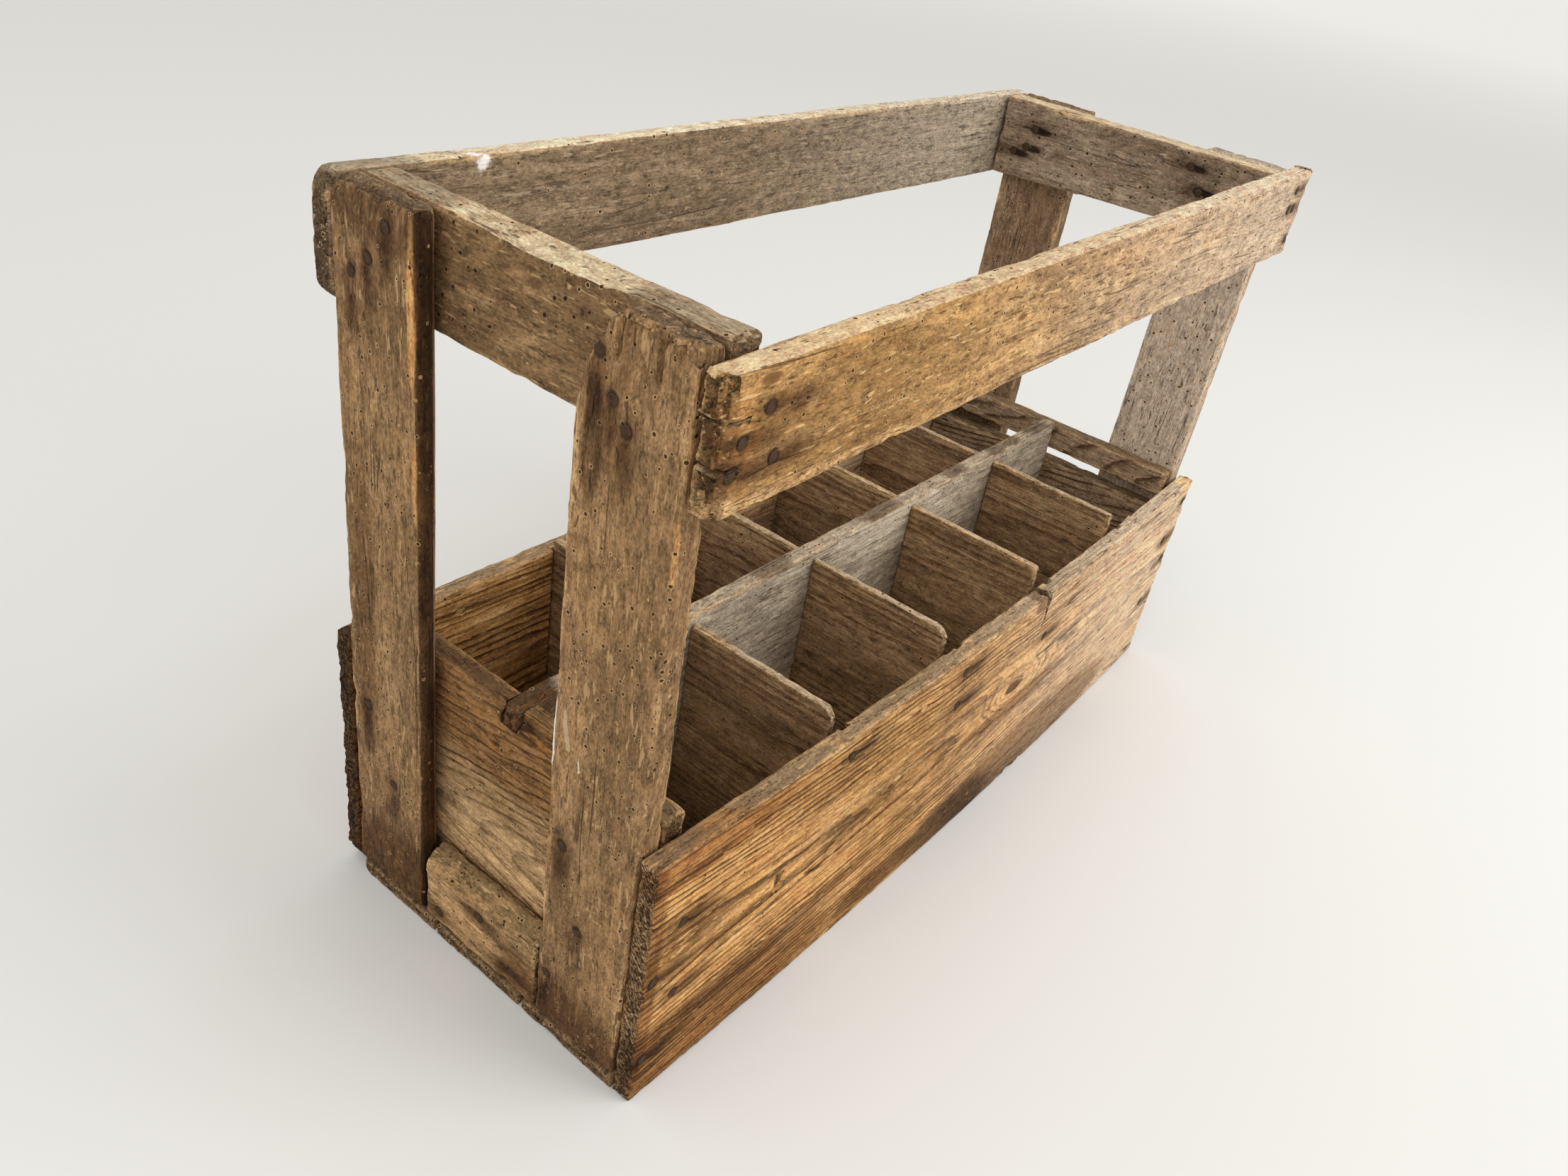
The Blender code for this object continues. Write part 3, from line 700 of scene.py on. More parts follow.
print("how strongly a divider shows its years:", DIVIDER["contrast"], "the centre one:", CENTRE["contrast"])

# %% [markdown]
# ## A sawn board
#
# Every board starts as a cube at its measured size. Slices take off a worn corner or a taper, and
# all edges are bevelled while the shape is still simple. Wear moves points, so the board then
# needs faces of only a few millimetres. Loop cuts need a window, and subdividing leaves a
# five-sided face whole, so we saw the whole board with evenly spaced planes, one axis at a time.

# %% Sawing a board
BEVEL_MOST = 0.3  # of the board's thickness
GRAIN_STEP = 0.0034  # between two saw planes along the grain, where less happens than across it


def select_faces(piece, test):
    """In edit mode, select the faces that pass a test."""
    mesh = bmesh.from_edit_mesh(piece.data)
    for face in mesh.faces:
        face.select_set(test(face))
    mesh.select_flush_mode()
    bmesh.update_edit_mesh(piece.data)


def saw_through(low, high, axis, step):
    """Cut the board in edit mode with evenly spaced planes across one axis."""
    count = max(1, round((high[axis] - low[axis]) / step))
    normal = [1.0 if n == axis else 0.0 for n in range(3)]
    for cut in range(1, count):
        point = low.copy()
        point[axis] += (high[axis] - low[axis]) * cut / count
        bpy.ops.mesh.select_all(action="SELECT")
        bpy.ops.mesh.bisect(plane_co=point, plane_no=normal)


def sawn_board(name, low, high, slices, arris, fine):
    """A bevelled board with small faces. Each slice is a plane and the side that goes."""
    bpy.ops.object.select_all(action="DESELECT")
    bpy.ops.mesh.primitive_cube_add(size=1, location=(low + high) / 2, scale=high - low)
    piece = bpy.context.object
    piece.name = piece.data.name = name
    bpy.ops.object.transform_apply(location=True, rotation=True, scale=True)
    bpy.ops.object.mode_set(mode="EDIT")
    bpy.ops.mesh.select_mode(type="EDGE")
    for point, outward in slices:
        bpy.ops.mesh.select_all(action="SELECT")
        bpy.ops.mesh.bisect(plane_co=point, plane_no=outward, use_fill=True, clear_outer=True)
    bpy.ops.mesh.select_all(action="SELECT")
    bpy.ops.mesh.bevel(offset=min(arris, BEVEL_MOST * min(high - low)), segments=2, affect="EDGES")
    grain = board_axes(low, high)[0]
    for axis in range(3):
        saw_through(low, high, axis, GRAIN_STEP if axis == grain else fine)
    bpy.ops.object.mode_set(mode="OBJECT")
    return piece


print("saw planes along a post:", round(0.425 / GRAIN_STEP) - 1)

# %% [markdown]
# ## Points and groups
#
# Some wear is easier to say in numbers than with a tool: a point's place decides how much it
# moves. Two helpers read and write all points of a mesh at once, and a third turns a number for
# each point into a vertex group, in twenty steps, which a modifier can use as its mask.

# %% Points of a mesh, and vertex groups
LEVELS = 20


def points_of(piece):
    values = np.empty(len(piece.data.vertices) * 3)
    piece.data.vertices.foreach_get("co", values)
    return values.reshape(-1, 3)


def move_points(piece, points):
    piece.data.vertices.foreach_set("co", points.ravel())
    piece.data.update()


def weight_group(piece, name, weights):
    group = piece.vertex_groups.new(name=name)
    levels = np.round(np.clip(weights, 0, 1) * LEVELS).astype(int)
    for level in range(1, LEVELS + 1):
        group.add(np.flatnonzero(levels == level).tolist(), level / LEVELS, "REPLACE")


def arris_group(piece, low, high, reach):
    middle, half = np.array((low + high) / 2), np.array((high - low) / 2)
    gaps = np.sort(half - np.abs(points_of(piece) - middle), axis=1)
    weight_group(piece, "arris", 1 - gaps[:, 1] / reach)


print("steps of a vertex group:", LEVELS)

# %% [markdown]
# ## Textures of wear
#
# Old wood isn't rough in one way. It wanders a little over a hand's breadth, has chips of a few
# millimetres along the arrises, raised grain on its faces and deep fissures in its ends. Each is
# a cloud texture of its own size. A ramp makes a cloud's soft hills into sharp bites, and an
# empty that is long one way and short the other stretches it into grain.

# %% Wear textures
def cloud(name, size, depth, ramp=()):
    """A cloud texture. A ramp is (place, value) for its two stops."""
    texture = bpy.data.textures.new(name, "CLOUDS")
    texture.noise_scale = size
    texture.noise_depth = depth
    if ramp:
        texture.use_color_ramp = True
        for element, (place, value) in zip(texture.color_ramp.elements, ramp):
            element.position = place
            element.color = (value, value, value, 1)
    return texture


def stretch_along(axis, along, across):
    """An empty that stretches a texture along one axis."""
    empty = bpy.data.objects.new("stretch", None)
    bpy.context.collection.objects.link(empty)
    empty.scale = [along if n == axis else across for n in range(3)]
    return empty


WANDER = cloud("wander", 0.09, 1)
CHIPS = cloud("chips", 0.022, 3, ((0.20, 0.0), (0.42, 1.0)))
NIBBLE = cloud("nibble", 0.009, 2, ((0.2, 0.0), (0.7, 1.0)))
RAISED = cloud("raised grain", 1.0, 3, ((0.2, 0.0), (0.7, 1.0)))
FISSURES = cloud("fissures", 1.0, 2, ((0.36, 0.0), (0.50, 1.0)))
GRAIN_STRETCH = [stretch_along(axis, 0.055, 0.0048) for axis in range(3)]
END_STRETCH = [stretch_along(axis, 0.0100, 0.0032) for axis in range(3)]
bpy.context.view_layer.update()
print("wear textures:", [texture.name for texture in bpy.data.textures])

# %% [markdown]
# ## Wear in the shape
#
# Five Displace modifiers age a board, one for each texture. Chips and nibbles are held to the
# arrises by a vertex group, and fissures to the ends. Their middle level is 1, so they only ever
# take wood away, and a last clip keeps the board inside its measured box.

# %% Weathering
USUAL_WEAR = {  # depths in metres; reach is how far chips go from the arris
    "arris": 0.0016, "fine": 0.0019, "reach": 0.006, "wander": 0.0010, "chips": 0.0020,
    "nibble": 0.0006, "grain": 0.0005, "fissures": 0.0012, "sawn": False,
}
END_REACH = 0.004


def displace(piece, texture, strength, group="", stretch=None):
    change = piece.modifiers.new(texture.name, "DISPLACE")
    change.texture = texture
    change.strength = strength
    change.mid_level = 1.0
    change.vertex_group = group
    change.texture_coords = "OBJECT" if stretch else "LOCAL"
    change.texture_coords_object = stretch
    bpy.context.view_layer.objects.active = piece
    bpy.ops.object.modifier_apply(modifier=change.name)


def weather(piece, low, high, wear):
    along, across, _ = board_axes(low, high)
    arris_group(piece, low, high, wear["reach"])
    from_middle = np.abs(points_of(piece)[:, along] - (low[along] + high[along]) / 2)
    weight_group(piece, "ends", 1 - ((high[along] - low[along]) / 2 - from_middle) / END_REACH)
    displace(piece, WANDER, wear["wander"])
    displace(piece, CHIPS, wear["chips"], "arris")
    displace(piece, NIBBLE, wear["nibble"], "arris")
    displace(piece, RAISED, wear["grain"], stretch=GRAIN_STRETCH[along])
    displace(piece, FISSURES, wear["fissures"], "ends", END_STRETCH[across])
    piece.vertex_groups.clear()
    move_points(piece, np.clip(points_of(piece), low, high))


print("chips bite up to, mm:", 1000 * USUAL_WEAR["chips"])

# %% [markdown]
# ## Where the nails are
#
# The measured nails tell where iron meets wood. Each is a slim box: its long side is the way it
# was driven, and its head is at the end that lies farther from the crate's middle. A board that a
# head sits in gets a small dent there, and its finish gets the iron stain.

# %% Nail heads
HEAD_MARGIN = Vector((0.0015, 0.0085, 0.0015))  # wide across the crate, where one board is bowed
HEAD_CLOSE, DEPTH_MOST = 0.0055, 0.004


def nail_head(name):
    """The middle of a nail's head, and the way into the wood."""
    low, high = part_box(name)
    size = high - low
    axis = max(range(3), key=lambda n: size[n])
    point = (low + high) / 2
    outer = high[axis] if point[axis] > 0 else low[axis]
    inward = Vector((0, 0, 0))
    inward[axis] = -1 if point[axis] > 0 else 1
    point[axis] = outer
    return point, inward


HEADS = {name: nail_head(name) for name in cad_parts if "nail" in name}


def heads_in(low, high):
    return [(name, point, inward) for name, (point, inward) in HEADS.items()
            if all(low[n] - HEAD_MARGIN[n] < point[n] < high[n] + HEAD_MARGIN[n] for n in range(3))]


def worn_depth(piece, point, inward):
    """How far below the measured face the worn surface lies round a place."""
    away = points_of(piece) - np.array(point)
    depth = away @ np.array(inward)
    close = (np.linalg.norm(away, axis=1) < HEAD_CLOSE) & (depth < DEPTH_MOST)
    return float(np.median(depth[close])) if close.any() else 0.0005


print("nails:", len(HEADS))

# %% [markdown]
# ## Dents, parings and saw marks
#
# Some damage isn't a texture but one thing in one place: a corner knocked off, a flake torn out
# under a nail, the notch's broken lip. Sculpting would do it by hand, but it can't be repeated
# exactly. So a dent pushes points inward near a place, a paring does so inside a soft-edged box,
# and the saw's steps follow a wave down the board's end.

# %% Pressing, carving and saw marks
def smooth_step(share):
    return share * share * (3 - 2 * share)


def press(piece, spots):
    """Push the surface in at each (point, inward, radius, depth)."""
    points = points_of(piece)
    for point, inward, radius, depth in spots:
        apart = np.linalg.norm(points - np.array(point), axis=1) / radius
        share = np.clip(1.6 - apart, 0, 0.8) / 0.8
        points += np.outer(smooth_step(share) * depth, np.array(inward))
    move_points(piece, points)


def carve(piece, low, high, inward, depth, soft=0.0014):
    """Pare a soft-edged box of the surface in, as with a chisel."""
    points = points_of(piece)
    middle, half = (np.array(low) + np.array(high)) / 2, (np.array(high) - np.array(low)) / 2
    share = smooth_step(np.clip((half + soft - np.abs(points - middle)) / soft, 0, 1)).prod(axis=1)
    points += np.outer(share * depth, np.array(Vector(inward).normalized()))
    move_points(piece, points)


SAW_PITCH, SAW_DEPTH = 0.0056, 0.0018


def saw_marks(points, low):
    """Move points to the slanting steps of a coarse saw in a board's near end, deepest at its face."""
    close = np.clip(1 - (points[:, 0] - low.x) / 0.005, 0, 1)
    outer = 0.45 + 0.55 * np.clip(1 - (points[:, 1] - low.y) / 0.004, 0, 1)
    phase = (points[:, 2] - 1.4 * points[:, 1]) / SAW_PITCH + 0.5 * np.sin(points[:, 2] * 95)
    points[:, 0] += close * outer * SAW_DEPTH * (phase % 1.0) * (0.6 + 0.4 * np.sin(points[:, 2] * 210))


print("saw steps down a 175 mm end:", round(0.175 / SAW_PITCH))

# %% [markdown]
# ## Cutting and dressing
#
# Slots, grooves and splits go right through the wood, so they are real cuts: we make the shape
# that goes, join all of them for a board into one tool, and take it away with a Boolean. That is
# done on the plain sawn board, because a Boolean is only reliable on clean shapes. A finished
# piece is then smoothed by angle, gets its finish and is parented to the crate's body, and its
# measured node is hidden.

# %% Cutting with a Boolean
def wedge(place, size, turn, thin_end, thin_axis):
    """A box whose one end narrows to a tenth. It stays unselected."""
    bpy.ops.mesh.primitive_cube_add(size=1, location=place, scale=size, rotation=(0, 0, turn))
    tool = bpy.context.object
    bpy.ops.object.mode_set(mode="EDIT")
    bpy.ops.mesh.select_mode(type="FACE")
    select_faces(tool, lambda face: face.normal.dot(Vector(thin_end)) > 0.9)
    bpy.ops.transform.resize(value=[0.1 if n == thin_axis else 1 for n in range(3)], orient_type="LOCAL")
    bpy.ops.object.mode_set(mode="OBJECT")
    tool.select_set(False)
    return tool


def cut_away(piece, boxes, wedges):
    """Take boxes and wedges out of a piece with one Boolean."""
    bpy.ops.object.select_all(action="DESELECT")
    tools = []
    for low, high in boxes:
        bpy.ops.mesh.primitive_cube_add(size=1, location=[(a + b) / 2 for a, b in zip(low, high)],
                                        scale=[b - a for a, b in zip(low, high)])
        tools.append(bpy.context.object)
    tools += [wedge(*shape) for shape in wedges]
    for tool in tools:
        tool.select_set(True)
    if len(tools) > 1:
        bpy.ops.object.join()
    tool = bpy.context.object
    change = piece.modifiers.new("cut", "BOOLEAN")
    change.operation = "DIFFERENCE"
    change.solver = "EXACT"
    change.object = tool
    bpy.context.view_layer.objects.active = piece
    bpy.ops.object.modifier_apply(modifier=change.name)
    bpy.data.objects.remove(tool)
    if not piece.data.polygons:
        raise ValueError(piece.name + " was cut away whole")


SMOOTH_WOOD, SMOOTH_IRON = 38, 45  # degrees between faces that still look like one surface


def smooth(piece, degrees):
    bpy.ops.object.select_all(action="DESELECT")
    piece.select_set(True)
    bpy.context.view_layer.objects.active = piece
    bpy.ops.object.shade_smooth_by_angle(angle=math.radians(degrees))


def dress(piece, node, slot, finish):
    """Smooth a finished board, give it its finish and put it in its node's place."""
    smooth(piece, SMOOTH_WOOD)
    piece.data.materials.clear()
    piece.data.materials.append(finish)
    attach(piece, "root")
    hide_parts(node)


print("faces count as one surface up to, degrees:", SMOOTH_WOOD)

# %% [markdown]
# ## Joinery
#
# The cross dividers stand in upright grooves in the side boards. They cross the centre divider in
# half laps: a slot from below in the one, from above in the others. The centre divider's tongue
# lies in a notch in the near end board. The cuts follow from the measured boxes, so a joint stays
# right if a board is measured again, with a little air in it as in the measured part.

# %% What the joinery cuts away
JOINT = 0.0003
OVER = 0.01  # how far a cutter reaches past the surface
TONGUE = 0.014  # height of the centre divider's tongue
GROOVE_FLOOR, GROOVE_MOUTH, GROOVE_AIR = 0.1133, 0.1, 0.0005
ABOVE_BOX = 0.2
crosses = [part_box(f"cross_divider_{n}") for n in range(1, 5)]
centre_low, centre_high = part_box("centre_divider")
near_end_low, near_end_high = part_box("near_end_board")
lap = (crosses[0][0].z + crosses[0][1].z) / 2


def grooves(side):
    """The side boards' upright grooves for the cross dividers."""
    y_low, y_high = sorted((side * GROOVE_FLOOR, side * GROOVE_MOUTH))
    return [((low.x - GROOVE_AIR, y_low, -OVER), (high.x + GROOVE_AIR, y_high, ABOVE_BOX))
            for low, high in crosses]


def centre_cuts():
    """Slots from below over the cross dividers, and the wood under the tongue."""
    under_tongue = ((centre_low.x - OVER, -OVER, -OVER),
                    (near_end_high.x + JOINT, OVER, centre_high.z - TONGUE))
    return [((low.x - JOINT, -OVER, -OVER), (high.x + JOINT, OVER, lap + JOINT))
            for low, high in crosses] + [under_tongue]


def cuts_of(node, low, high):
    """The boxes that the joinery takes out of a board."""
    if node.endswith("side_board"):
        return grooves(-1 if node.startswith("front") else 1)
    if node == "centre_divider":
        return centre_cuts()
    if node.startswith("cross_divider"):
        return [((low.x - OVER, centre_low.y - JOINT, lap),
                 (high.x + OVER, centre_high.y + JOINT, high.z + OVER))]
    if node == "near_end_board":
        return [((near_end_low.x - OVER, centre_low.y - JOINT, centre_high.z - TONGUE - JOINT),
                 (near_end_high.x + OVER, centre_high.y + JOINT, near_end_high.z + OVER))]
    return []


print("half laps at height, mm:", round(1000 * lap, 1))

# %% [markdown]
# ## Slices
#
# The real boards aren't all square. One corner of the near front post is worn to a slope, the
# near back post was sawn at the tree's edge, the far rail tapers, and many ends are rounded by
# handling. A slice is a plane and the direction of the side that goes. They are made first,
# while the board is a plain box, so that the bevel runs round the new edges too.

# %% Slices: worn corners, a tree's edge, a taper and chamfers
near_back_low, near_back_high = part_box("near_back_post")
near_front_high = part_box("near_front_post")[1]
batten_low, batten_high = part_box("near_batten")
taper_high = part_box("far_top_rail")[1]
rail_bottom = taper_high.z - 0.060
post_top = near_front_high.z
front_y = near_front_high.y
SLICES = {
    "near_front_post": [((0, front_y, post_top - 0.045), (0, 0.045, 0.010)),
                        ((0, front_y - 0.006, post_top - 0.022), (0, 0.022, 0.012)),
                        ((-HALF_LENGTH, 0, post_top - 0.004), (-1, 0, 0.8))],
    "near_back_post": [((near_back_high.x - 0.008, near_back_low.y, 0), (1, -1, 0))],
    "far_top_rail": [((0, taper_high.y, rail_bottom), (0, -0.008, -2 * taper_high.y))],
    "near_batten": [((batten_low.x, 0, batten_high.z - 0.005), (-1, 0, 1))],
    "far_batten": [((-batten_low.x, 0, batten_high.z - 0.005), (1, 0, 1))],
    "front_top_rail": [((-HALF_LENGTH, 0, post_top - 0.004), (-1, 0, 1)),
                       ((-HALF_LENGTH, 0, post_top - 0.058), (-1, 0, -1)),
                       ((HALF_LENGTH, 0, post_top - 0.003), (1, 0, 1))],
    "floor_plank_back": [((-HALF_LENGTH, 0.104, 0), (-1, 0.8, 0))],
    "back_side_board": [((-HALF_LENGTH + 0.012, 0, 0), (-0.5, 0, -1)),
                        ((-HALF_LENGTH, 0, 0.012), (-1, 0, -0.5))],
    "back_top_rail": [((-HALF_LENGTH, 0, post_top - 0.009), (-1, 0, 0.7)),
                      ((-HALF_LENGTH + 0.004, 0, post_top), (-0.4, 0, 1)),
                      ((-HALF_LENGTH, 0, post_top - 0.055), (-1, 0, -1))],
}
CROSS_CORNERS = (0.005, 0.006, 0.0018, 0.0014)
for number, ((low, high), corner) in enumerate(zip(crosses, CROSS_CORNERS), 1):
    SLICES[f"cross_divider_{number}"] = [((0, low.y, high.z - corner), (0, -1, 1.3))]
print("sliced boards:", len(SLICES))

# %% [markdown]
# ## Old splits and broken places
#
# The front board has split open at its top edge, and the front rail's near end in two places. A
# split is a wedge: a box that narrows to a tenth, as wood opens from its edge. Flakes and torn
# strips are pared away, and knocks are dents. All are in the places that the real crate has them.

# %% Old splits and broken places
FACE = -0.1233  # the unbowed outer face of the front board
RAIL_FACE, END_X, RAIL_X = -0.1253, -0.3205, -0.3032
POST_NOTCHES = ((-0.0608, 0.414), (-0.0696, 0.408), (-0.0906, 0.402), (-0.1005, 0.416))
# A middle, a size, a turn about Z, the thin end's direction and the axis that thins.
WEDGES = {
    "front_side_board": [((0.0545, -0.1216, 0.163), (0.0052, 0.0136, 0.034), math.radians(20),
                          (0, 0, -1), 0)],
    "front_top_rail": [((-0.3175, -0.118, 0.4055), (0.024, 0.03, 0.0020), 0, (1, 0, 0), 2),
                       ((-0.3185, -0.118, 0.3855), (0.020, 0.03, 0.0024), 0, (1, 0, 0), 2)],
}
# A low and a high corner, the way in and a depth.
CARVED = {
    "near_front_post": [((-0.330, -0.0835, 0.3945), (-0.313, -0.0735, 0.44), (1, 0, 0), 0.0022),
                        ((-0.330, -0.0910, 0.4030), (-0.313, -0.0835, 0.44), (1, 0, 0), 0.0008)]
                       + [((-0.330, y - 0.0005, bottom), (-0.313, y + 0.0005, 0.44), (1, 0, 0), 0.0034)
                          for y, bottom in POST_NOTCHES],
    "near_end_board": [((-0.310, -0.036, 0.1760), (-0.2985, -0.0065, 0.20), (1, 0, 0), 0.0042),
                       ((-0.310, 0.0065, 0.1800), (-0.2995, 0.016, 0.20), (1, 0, 0), 0.0030)],
    "front_side_board": [((-0.2190, -0.130, 0.0905), (-0.2145, -0.120, 0.1025), (0, 1, 0), 0.0024),
                         ((0.040, -0.130, 0.1735), (0.055, -0.108, 0.19), (0, 0, -1), 0.0014)],
}
print("split boards:", len(WEDGES), "pared boards:", len(CARVED))

# %% [markdown]
# ## Knocked arrises
#
# A corner that is knocked again and again doesn't chip, it is pressed round. Along the posts'
# tops, the rails' arrises and the near batten the real crate shows rows of such dents, and the
# deepest ones make the lobes on top of the near front post. Each row repeats one dent at its
# own places and depths.

# %% Dents
# A place, the way in, a radius and a depth.
DENTS = {
    "near_front_post": [((END_X, y, 0.425), (0.5, 0, -0.85), radius, depth) for y, radius, depth in
                        ((-0.0608, 0.0030, 0.0046), (-0.0696, 0.0030, 0.0052), (-0.0815, 0.0026, 0.0056),
                         (-0.0906, 0.0038, 0.0070), (-0.1100, 0.0055, 0.0070), (-0.0520, 0.0060, 0.0036))],
    "near_back_post": [((END_X, 0.110, 0.425), (0.6, -0.4, -0.6), 0.0060, 0.0030),
                       ((END_X, 0.082, 0.425), (0.5, 0, -0.85), 0.0090, 0.0016)],
    "near_top_rail": [((RAIL_X, y, 0.425), (0.55, 0, -0.83), 0.0120, depth)
                      for y, depth in ((0.044, 0.0006), (0.030, 0.0012), (0.013, 0.0022), (0.000, 0.0028),
                                       (-0.014, 0.0020), (-0.030, 0.0024), (-0.042, 0.0014))],
    "front_top_rail": [((END_X, RAIL_FACE, z), (0.6, 0.7, 0), 0.0050, depth)
                       for z, depth in ((0.420, 0.0040), (0.410, 0.0022), (0.392, 0.0026), (0.376, 0.0020),
                                        (0.366, 0.0040))],
    "centre_divider": [((RAIL_X, 0.004, 0.187), (1, -0.6, -1), 0.0020, 0.0014),
                       ((RAIL_X, -0.005, 0.182), (1, 0.8, 0), 0.0024, 0.0012),
                       ((-0.292, -0.0055, 0.187), (0, 0.7, -1), 0.0030, 0.0016)]
                      + [((x, -0.0055, 0.187), (0, 0.7, -1), 0.0055, depth) for x, depth in
                         ((-0.16, 0.0012), (-0.02, 0.0016), (0.09, 0.0020), (0.13, 0.0016), (0.21, 0.0022))],
    "near_batten": [((END_X, y, 0.0603), (0.6, 0, -0.8), 0.0085, depth)
                    for y, depth in ((0.040, 0.0020), (0.020, 0.0044), (0.002, 0.0034), (-0.015, 0.0048),
                                     (-0.034, 0.0036))],
}
print("dents:", sum(len(dents) for dents in DENTS.values()))

# %% [markdown]
# ## Marks in known places
#
# These lists hold what the real boards show, each mark with its place in metres. Knots are a
# place and a size, cracks two ends and a width, and scratches also have a colour and a share.
# Spots cover what is below them and tints darken it; both are a middle, radii, a colour and a
# share. A few colours come back on many boards, so they have names.

# %% Marks on the front board and the front rail
PALE, TORN, GREYED, BLACKENED = (226, 186, 134), (200, 146, 88), (190, 172, 146), (44, 34, 27)
MARKS = {
    "front_side_board": {
        "knots": [((0.039, FACE, 0.104), 0.0085), ((-0.1145, FACE, 0.1047), 0.0022)],
        "cracks": [((-0.2140, FACE, 0.1030), (-0.2185, FACE, 0.0900), 0.0012),
                   ((0.060, FACE, 0.0055), (0.140, FACE, 0.0035), 0.0012),
                   ((-0.3205, FACE, 0.1275), (-0.268, FACE, 0.1165), 0.0009),
                   ((-0.3205, FACE, 0.0890), (-0.285, FACE, 0.0860), 0.0009),
                   ((-0.05, FACE, 0.1190), (0.013, FACE, 0.1150), 0.0006),
                   ((-0.3205, FACE, 0.0530), (-0.22, FACE, 0.0600), 0.0006)],
        "spots": [((-0.2165, FACE, 0.0965), (0.0026, 0.004, 0.0070), BLACKENED, 0.85),
                  ((0.054, FACE, 0.171), (0.0030, 0.03, 0.0050), BLACKENED, 0.8),
                  ((0.046, FACE, 0.170), (0.010, 0.03, 0.0080), (96, 70, 46), 0.6),
                  ((0.31, FACE, 0.172), (0.012, 0.02, 0.006), PALE, 0.9)],
        "tints": [((0.10, FACE, 0.020), (0.16, 0.02, 0.034), (150, 142, 136), 0.75),
                  ((-0.01, FACE, 0.014), (0.06, 0.02, 0.026), (128, 120, 116), 0.7),
                  ((-0.10, FACE, 0.016), (0.05, 0.02, 0.014), (124, 112, 104), 0.75),
                  ((0.05, FACE, 0.085), (0.09, 0.02, 0.008), (160, 140, 118), 0.7),
                  ((-0.28, FACE, 0.020), (0.13, 0.02, 0.034), (166, 150, 134), 0.75),
                  ((-0.29, FACE, 0.164), (0.09, 0.02, 0.014), (196, 168, 140), 0.7),
                  ((-0.318, FACE, 0.095), (0.010, 0.02, 0.10), (176, 154, 130), 0.7)],
        "scratches": [((-0.1850, FACE, 0.0500), (-0.1780, FACE, 0.0545), 0.0006, PALE, 0.9),
                      ((-0.2480, FACE, 0.0520), (-0.2390, FACE, 0.0580), 0.0006, PALE, 0.9),
                      ((-0.1760, FACE, 0.1130), (-0.1730, FACE, 0.1160), 0.0005, PALE, 0.9),
                      ((-0.1250, FACE, 0.0400), (-0.1190, FACE, 0.0440), 0.0006, PALE, 0.8),
                      ((-0.0900, FACE, 0.1380), (-0.0860, FACE, 0.1410), 0.0005, PALE, 0.8),
                      ((-0.3080, FACE, 0.1700), (-0.3000, FACE, 0.1650), 0.0007, PALE, 0.8),
                      ((-0.0700, FACE, 0.0600), (-0.0500, FACE, 0.0620), 0.0006, (108, 80, 52), 0.7),
                      ((0.1200, FACE, 0.0900), (0.1500, FACE, 0.1100), 0.0006, (140, 108, 76), 0.6)]},
    "front_top_rail": {
        "knots": [((-0.296, RAIL_FACE, 0.414), 0.0040), ((-0.10, RAIL_FACE, 0.399), 0.0035),
                  ((0.02, RAIL_FACE, 0.385), 0.0025)],
        "cracks": [((-0.3205, RAIL_FACE, 0.4010), (-0.3060, RAIL_FACE, 0.3990), 0.0013),
                   ((-0.3060, RAIL_FACE, 0.3990), (-0.2930, RAIL_FACE, 0.3965), 0.0008),
                   ((-0.3205, -0.110, 0.4010), (-0.3205, RAIL_FACE, 0.4000), 0.0016),
                   ((-0.3205, RAIL_FACE, 0.3800), (-0.3120, RAIL_FACE, 0.3810), 0.0014),
                   ((-0.3205, -0.110, 0.3820), (-0.3205, RAIL_FACE, 0.3800), 0.0018)],
        "spots": [((-0.304, RAIL_FACE, 0.423), (0.030, 0.01, 0.004), PALE, 0.7),
                  ((-0.310, RAIL_FACE, 0.392), (0.012, 0.01, 0.020), (168, 112, 58), 0.4),
                  ((-0.318, RAIL_FACE, 0.392), (0.007, 0.01, 0.040), (88, 62, 36), 0.55)],
        "scratches": [((-0.262, RAIL_FACE, 0.4100), (-0.265, RAIL_FACE, 0.3960), 0.0007, PALE, 0.8),
                      ((-0.240, RAIL_FACE, 0.4080), (-0.238, RAIL_FACE, 0.4010), 0.0006, PALE, 0.7),
                      ((-0.205, RAIL_FACE, 0.4150), (-0.198, RAIL_FACE, 0.4020), 0.0006, PALE, 0.7),
                      ((-0.150, RAIL_FACE, 0.3900), (-0.144, RAIL_FACE, 0.3800), 0.0006, PALE, 0.7),
                      ((-0.060, RAIL_FACE, 0.4050), (-0.052, RAIL_FACE, 0.3900), 0.0006, PALE, 0.7),
                      ((0.060, RAIL_FACE, 0.4150), (0.066, RAIL_FACE, 0.4000), 0.0006, PALE, 0.7)]},
}
print("marked boards:", len(MARKS))

